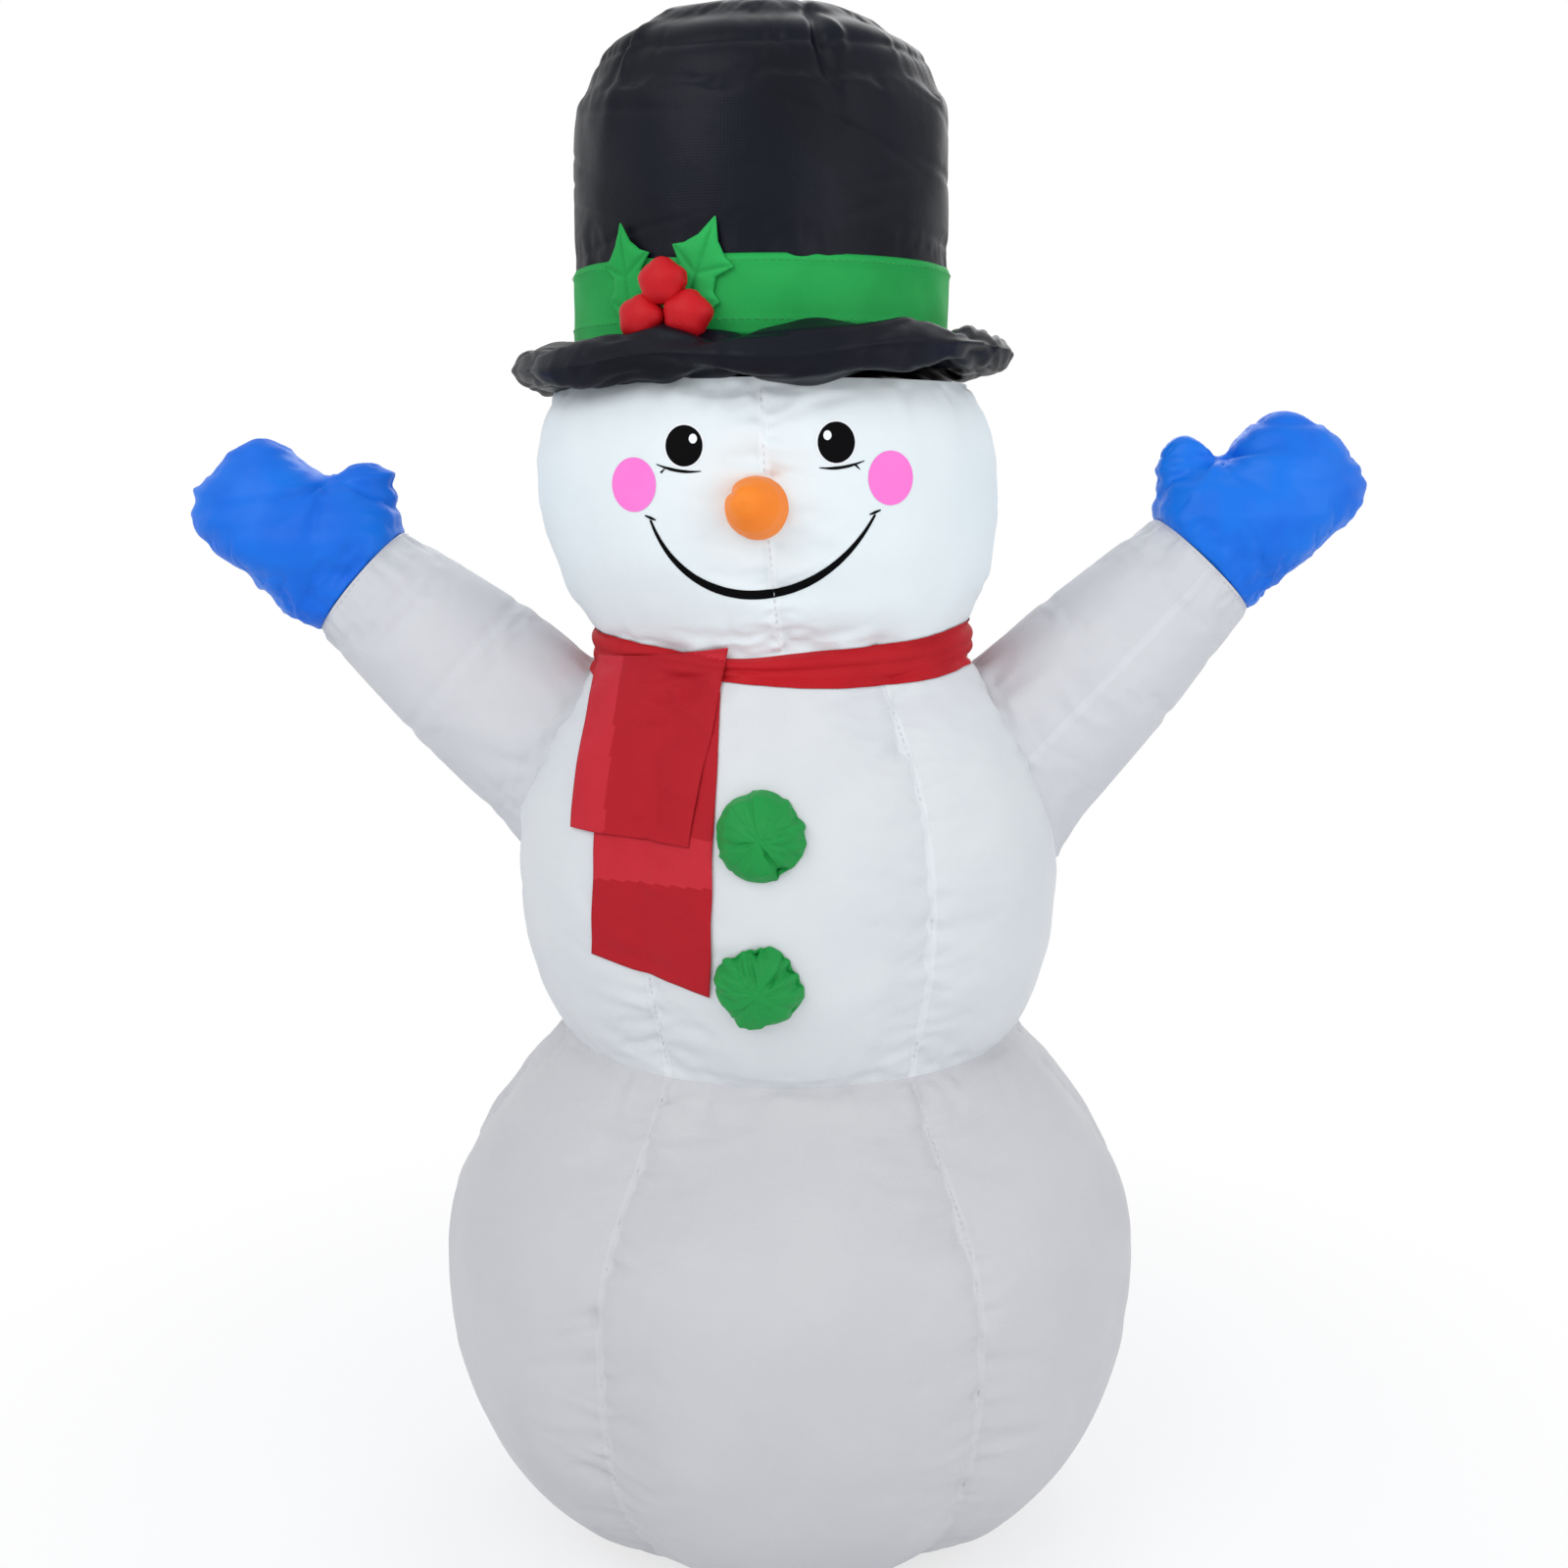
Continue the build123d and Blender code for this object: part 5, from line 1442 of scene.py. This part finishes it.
@dataclass
class Zipper:
    """The zipper for emptying the snowman, round the widest ring of the lower ball."""

    angle: float = 150.0
    half_span: float = 18.0
    radius: float = 363.0
    height: float = 318.0
    tape: float = 12.0
    pitch: float = 1.7

    def build(self, repeat: "Repeat") -> None:
        """Makes and finishes the row of teeth."""
        turn = np.radians(np.linspace(self.angle - self.half_span, self.angle + self.half_span, 80))
        radius = self.radius - 0.2
        line = np.stack([radius * np.cos(turn), radius * np.sin(turn), 0 * turn + self.height], axis=1) * MM
        teeth = repeat.along("zip_teeth", [line], self.pitch, (1.9, 5.0, 1.55), Finish.ZIP_NYLON)
        finished(teeth, Finish.ZIP_NYLON, nodes=("zip_coil",))


@dataclass
class Tether:
    """Webbing: the tabs that hold the D-rings, and the straps with the stake eyelets."""

    angles: tuple[float, float] = (50.0, 130.0)
    ring_height: float = 710.0
    bar_radius: float = 283.0
    width: float = 20.0
    strap_width: float = 25.0
    strap_reach: float = 406.0
    eyelet: float = 388.0

    def build_tabs(self, ground: Ground) -> None:
        """Makes and finishes the tabs, each a strap folded round its ring's bar."""
        tabs = []
        for index, angle in enumerate(self.angles):
            at_top = ground.round(angle, self.ring_height + 34, 0)[0]
            at_bar = ground.round(angle, self.ring_height + 8, 0)[0]
            top = math.hypot(at_top.x, at_top.y) + 1.0
            foot = math.hypot(at_bar.x, at_bar.y) + 1.0
            loop = np.linspace(math.pi, -math.pi * 0.75, 18)
            line = [(top, 34.0), (foot, 8.0)]
            line += [(self.bar_radius + 3.4 * math.cos(t + math.pi / 2) * -1,
                      3.4 * math.sin(t + math.pi / 2) * -1)
                     for t in loop[2:]]
            line += [(foot + 2.4, 10.0), (top + 2.2, 34.0)]
            side = evenly(np.array(line), 60)
            across = np.linspace(-self.width / 2, self.width / 2, 9)[None, :]
            turn = math.radians(angle)
            x = side[:, :1] * math.cos(turn) - across * math.sin(turn)
            y = side[:, :1] * math.sin(turn) + across * math.cos(turn)
            points = np.stack([x, y, self.ring_height + side[:, 1:] + 0 * across], axis=2)
            tabs.append(make_piece(f"tab_{index}", points))
        tab = joined(tabs, "tether_tab_webbing")
        thick = tab.modifiers.new("webbing", "SOLIDIFY")
        thick.thickness, thick.offset = 1.2 * MM, 0
        finished(baked(tab), Finish.WEBBING, nodes=("tether_tabs",))

    def build_straps(self) -> None:
        """Makes and finishes the stake straps, flat on the ground with a hole for each eyelet."""
        mesh = bmesh.new()
        half = self.strap_width / 2
        for angle in self.angles:
            turn = math.radians(angle)
            outline = [(160.0, -half), (self.strap_reach - 4, -half), (self.strap_reach, -half + 4),
                       (self.strap_reach, half - 4), (self.strap_reach - 4, half), (160.0, half)]
            hole = [(self.eyelet + 8 * math.cos(t), 8 * math.sin(t))
                    for t in np.linspace(0, math.tau, 28)[:-1]]
            loops = [[Vector((x, y, 0)) for x, y in loop] for loop in (outline, hole)]
            flat = [p for loop in loops for p in loop]
            verts = [mesh.verts.new(((p.x * math.cos(turn) - p.y * math.sin(turn)) * MM,
                                     (p.x * math.sin(turn) + p.y * math.cos(turn)) * MM,
                                     0.1 * MM)) for p in flat]
            for face in tessellate_polygon(loops):
                mesh.faces.new([verts[i] for i in face])
        bmesh.ops.recalc_face_normals(mesh, faces=mesh.faces[:])
        data = bpy.data.meshes.new("stake_strap_webbing")
        mesh.to_mesh(data)
        mesh.free()
        strap = bpy.data.objects.new("stake_strap_webbing", data)
        bpy.context.scene.collection.objects.link(strap)
        layer = data.uv_layers.new(name="cloth")
        for loop in data.loops:
            layer.data[loop.index].uv = data.vertices[loop.vertex_index].co.xy
        if data.polygons[0].normal.z < 0:
            data.flip_normals()
        thick = strap.modifiers.new("webbing", "SOLIDIFY")
        thick.thickness, thick.offset = 1.5 * MM, 1
        finished(baked(strap), Finish.WEBBING, nodes=("stake_straps",))


# ---------------------------------------------------------------- repeated details

class Repeat:
    """A Geometry Nodes tree that sets small rounded beads along lines, for stitches and zip teeth."""

    sizes: tuple[str, ...] = ("Pitch", "Height", "Width", "Length")

    def __init__(self) -> None:
        """Builds the tree once."""
        tree = bpy.data.node_groups.new("beads_along_lines", "GeometryNodeTree")
        face = tree.interface
        face.new_socket("Geometry", in_out="INPUT", socket_type="NodeSocketGeometry")
        for name in self.sizes:
            face.new_socket(name, in_out="INPUT", socket_type="NodeSocketFloat")
        face.new_socket("Finish", in_out="INPUT", socket_type="NodeSocketMaterial")
        face.new_socket("Geometry", in_out="OUTPUT", socket_type="NodeSocketGeometry")
        self.tree = tree
        self.sockets = {item.name: item.identifier for item in face.items_tree if item.in_out == "INPUT"}
        given = add(tree, "NodeGroupInput").outputs
        curve = add(tree, "GeometryNodeMeshToCurve", {0: given["Geometry"]})
        upright = add(tree, "GeometryNodeSetCurveNormal", {0: curve.outputs[0]})
        if hasattr(upright, "mode"):
            upright.mode = "Z_UP"
        points = add(tree, "GeometryNodeCurveToPoints", {0: upright.outputs[0], "Length": given["Pitch"]},
                     mode="LENGTH")
        bead = add(tree, "GeometryNodeMeshIcoSphere", {"Radius": 0.5, "Subdivisions": 1})
        size = add(tree, "ShaderNodeCombineXYZ", {0: given["Height"], 1: given["Width"], 2: given["Length"]})
        placed = add(tree, "GeometryNodeInstanceOnPoints", {
            "Points": points.outputs["Points"], "Instance": bead.outputs[0],
            "Rotation": points.outputs["Rotation"], "Scale": size.outputs[0]})
        real = add(tree, "GeometryNodeRealizeInstances", {0: placed.outputs[0]})
        smooth = add(tree, "GeometryNodeSetShadeSmooth", {0: real.outputs[0]})
        coated = add(tree, "GeometryNodeSetMaterial", {0: smooth.outputs[0], "Material": given["Finish"]})
        add(tree, "NodeGroupOutput", {0: coated.outputs[0]})

    def along(self, name: str, lines: list[np.ndarray], pitch: float, size: tuple[float, float, float],
              finish: Finish) -> Piece:
        """Sets beads along lines.

        Args:
            name: The new piece's name.
            lines: Points of each line, in metres.
            pitch: Distance between beads, in millimetres.
            size: Height, width and length of a bead, in millimetres.
            finish: The beads' finish.
        Returns:
            The beads as one piece.
        """
        verts, edges = [], []
        for line in lines:
            edges += [(len(verts) + i, len(verts) + i + 1) for i in range(len(line) - 1)]
            verts += [tuple(p) for p in line]
        mesh = bpy.data.meshes.new(name)
        mesh.from_pydata(verts, edges, [])
        piece = bpy.data.objects.new(name, mesh)
        bpy.context.scene.collection.objects.link(piece)
        modifier = piece.modifiers.new("beads", "NODES")
        modifier.node_group = self.tree
        for label, value in zip(self.sizes, (pitch, *size)):
            modifier[self.sockets[label]] = value * MM
        modifier[self.sockets["Finish"]] = WARDROBE.get(finish)
        return baked(piece)


@dataclass
class Stitching:
    """Rows of stitches on seams, on the band's hems and round the cuffs."""

    pitch: float = 7.0
    size: tuple[float, float, float] = (0.7, 0.9, 4.6)

    def build(self, repeat: Repeat, skins: list[Skin], arms: list[Arm]) -> None:
        """Makes and finishes every row."""
        lines = []
        for skin in skins:
            lines += skin.seam_lines()
        seams = repeat.along("seam_stitches", lines, self.pitch, self.size, Finish.WHITE_THREAD)
        finished(seams, Finish.WHITE_THREAD)
        turn = np.radians(np.linspace(-180, 180, 181))
        rings = []
        for height in (BRIM_TOP + 6, BAND_TOP - 5):
            radius = CROWN_RADIUS + 3.6
            tilt = 1.5 * np.cos(turn) * (height - BRIM_TOP) / 60
            rings.append(np.stack([HAT_X + radius * np.cos(turn), radius * np.sin(turn), height + tilt],
                                  1) * MM)
        band = repeat.along("band_stitches", rings, self.pitch, self.size, Finish.GREEN_THREAD)
        finished(band, Finish.GREEN_THREAD)
        cuffs = []
        for arm in arms:
            around, radius = np.linspace(0, math.tau, 97), arm.cuff_radius + 1.2
            ring = arm.place(np.full(97, arm.length - 3.0), radius * np.cos(around), radius * np.sin(around))
            cuffs.append(ring * MM)
        cuff = repeat.along("cuff_stitches", cuffs, self.pitch, self.size, Finish.WHITE_THREAD)
        finished(cuff, Finish.WHITE_THREAD)


CAD_FINISHES = {
    "fan_clamp_band": Finish.STEEL, "fan_seal": Finish.RUBBER, "fan_housing": Finish.BLACK_ABS,
    "cable_gland": Finish.RUBBER, "intake_grille": Finish.BLACK_ABS, "grille_screws": Finish.STEEL,
    "fan_motor": Finish.MOTOR_STEEL, "fan_shaft": Finish.STEEL, "fan_impeller": Finish.GREY_ABS,
    "zip_tapes": Finish.ZIP_TAPE, "zip_slider": Finish.ZIP_METAL, "zip_pull": Finish.ZIP_METAL,
    "tether_ring_left": Finish.STEEL, "tether_ring_right": Finish.STEEL, "stake_eyelets": Finish.BRASS,
    "lamp_sockets": Finish.GREY_ABS, "lamp_lenses": Finish.LENS, "light_wire": Finish.RUBBER,
    "lamp_ties": Finish.WEBBING,
}
FAN = Fan()
ZIPPER = Zipper()


# ---------------------------------------------------------------- studio

@dataclass
class Studio:
    """A plain pale floor, soft light and the camera."""

    eye: tuple[float, float, float] = (-6.0, -1836.0, 1110.0)
    pitch: float = 10.2         # how far the camera looks down
    lens: float = 41.53
    lamps: tuple[tuple[str, tuple[float, float, float], float, float], ...] = (
        ("key", (-1.9, -2.6, 3.0), 2.6, 46.0), ("fill", (2.4, -2.4, 2.0), 2.6, 30.0),
        ("back", (0.6, 2.8, 2.8), 2.4, 34.0))       # name, place in metres, size and power
    floor_reach: float = 14.0
    floor_fade: tuple[float, float] = (0.42, 1.25)  # between these distances the floor goes to white

    def build(self) -> None:
        """Makes the camera, the lamps, the floor and the world."""
        scene = bpy.context.scene
        camera = bpy.data.objects.new("camera", bpy.data.cameras.new("camera"))
        camera.data.lens, camera.data.sensor_width = self.lens, 36.0
        camera.location = Vector(self.eye) * MM
        camera.rotation_euler = (math.radians(90 - self.pitch), 0, 0)
        scene.collection.objects.link(camera)
        scene.camera = camera
        for name, place, size, power in self.lamps:
            light = bpy.data.lights.new(name, "AREA")
            light.energy, light.size = power, size
            lamp = bpy.data.objects.new(name, light)
            lamp.location = place
            lamp.rotation_euler = (Vector((0, 0, 0.8)) - lamp.location).to_track_quat("-Z", "Y").to_euler()
            scene.collection.objects.link(lamp)
        self.build_floor()
        world = bpy.data.worlds.new("studio")
        scene.world = world
        world.use_nodes = True
        tree = world.node_tree
        tree.nodes.clear()
        shown = self.shown(tree)
        lit = add(tree, "ShaderNodeBackground", {0: linear("#F4F6FA"), 1: 0.72})
        white = add(tree, "ShaderNodeBackground", {0: linear("#FFFFFF"), 1: 1.0})
        both = add(tree, "ShaderNodeMixShader", {0: shown, 1: lit.outputs[0], 2: white.outputs[0]})
        add(tree, "ShaderNodeOutputWorld", {0: both.outputs[0]})
        scene.view_settings.view_transform = "Standard"

    def shown(self, tree: bpy.types.NodeTree) -> bpy.types.NodeSocket:
        """1 for rays that show the background itself."""
        path = add(tree, "ShaderNodeLightPath")
        shown = path.outputs["Is Camera Ray"]
        for other in ("Is Glossy Ray", "Is Transmission Ray"):
            shown = add(tree, "ShaderNodeMath", {0: shown, 1: path.outputs[other]},
                        operation="MAXIMUM").outputs[0]
        return shown

    def build_floor(self) -> None:
        """Makes the floor, which keeps the snowman's shadow on white."""
        mesh = bpy.data.meshes.new("floor")
        reach = self.floor_reach
        mesh.from_pydata([(-reach, -reach, 0), (reach, -reach, 0), (reach, reach, 0), (-reach, reach, 0)], [],
                         [(0, 1, 2, 3)])
        floor = bpy.data.objects.new("floor", mesh)
        floor.location.z = -0.001
        bpy.context.scene.collection.objects.link(floor)
        material, tree = blank("pale_floor")
        cloth = add(tree, "ShaderNodeBsdfDiffuse", {0: linear("#F2F3F5")})
        white = add(tree, "ShaderNodeEmission", {0: linear("#FFFFFF"), 1: 1.0})
        place = add(tree, "ShaderNodeTexCoord")
        far = add(tree, "ShaderNodeVectorMath", {0: place.outputs["Object"]}, operation="LENGTH")
        pale = ramp(tree, far.outputs["Value"], *self.floor_fade, 0.68, 1.0)
        share = add(tree, "ShaderNodeMath", {0: self.shown(tree), 1: pale}, operation="MULTIPLY")
        both = add(tree, "ShaderNodeMixShader", {0: share.outputs[0], 1: cloth.outputs[0],
                                                 2: white.outputs[0]})
        add(tree, "ShaderNodeOutputMaterial", {0: both.outputs[0]})
        mesh.materials.append(material)


# ---------------------------------------------------------------- putting it together

def numbered(stem: str, count: int) -> tuple[str, ...]:
    """Names of CAD nodes that are numbered from 1."""
    return tuple(f"{stem}_{i + 1}" for i in range(count))


def main() -> None:
    """Builds every sub-assembly in order."""
    logging.basicConfig(level=logging.INFO, format="%(name)s: %(message)s")
    Studio().build()
    lower = Skin("lower_skin", (165.0, 0.0), (363.0, 318.0), WAIST, (0.60, 0.62, 0.10), (0.45, 0.45, 0.35), 6,
                 Finish.LOWER_CLOTH_PAINTED_LIGHT, (*numbered("lower_gore", 6), "base_panel", "lower_seam_allowances"), 1,
                 rows=104, gore_columns=34, based=True)
    torso = Skin("torso_skin", WAIST, (278.0, 710.0), NECK, (0.53, 0.57, 0.30), (0.50, 0.50, 0.25), 6,
                 Finish.TORSO_CLOTH_PAINTED_LIGHT, (*numbered("torso_gore", 6), "torso_seam_allowances"), 2, rows=76)
    head = Skin("head_skin", NECK, (231.0, 1080.0), HEAD_TOP, (0.50, 0.45, 0.30), (0.50, 0.60, 0.30), 4,
                Finish.HEAD_CLOTH_PAINTED_LIGHT, (*numbered("head_gore", 4), "head_seam_allowances"), 3, rows=56,
                gore_columns=44, seam_depth=2.5)
    skins = [lower, torso, head]
    arms = [Arm(-1, 40.5, "right"), Arm(1, 46.0, "left", rise=9.0)]
    hat = Hat()
    jobs = [skin.build() for skin in skins]
    for arm in arms:
        jobs += [arm.build_sleeve(), arm.build_mitten()]
    jobs += [hat.build_brim(), hat.build_crown()]
    inflate(jobs)
    body = Ground(lower.piece, torso.piece, head.piece)
    buttons = [Button("upper", -27.0, 780.0, 21), Button("lower", -28.0, 644.0, 22)]
    inflate([button.build(body) for button in buttons])
    repeat = Repeat()
    Stitching().build(repeat, skins, arms)
    lower_openings(lower.piece)
    for skin in skins:
        smoothed(skin.piece).data.update()
        skin.crease()
    shell = Ground(torso.piece)
    for arm in arms:
        smoothed(arm.sleeve)
        arm.crease_sleeve(shell)
        arm.crease_torso(torso.piece)
        arm.crease_mitten()
        arm.dress()
    for skin in skins:
        skin.dress()
    smoothed(hat.brim)
    smoothed(hat.crown)
    hat.crease()
    hat.build_band()
    hat.dress()
    Holly().build()
    Face().build(Ground(head.piece))
    for button in buttons:
        button.dress()
    scarf = Scarf()
    chest = Ground(torso.piece, head.piece)
    scarf.build_wrap(chest)
    scarf.build_tails(chest, Ground(torso.piece, head.piece, scarf.wrap))
    FAN.build()
    ZIPPER.build(repeat)
    tether = Tether()
    tether.build_tabs(Ground(torso.piece))
    tether.build_straps()
    for node, finish in CAD_FINISHES.items():
        WARDROBE.dress(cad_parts[node], finish)
        log.info("%s: CAD node dressed", node)


if __name__ == "__main__":
    main()
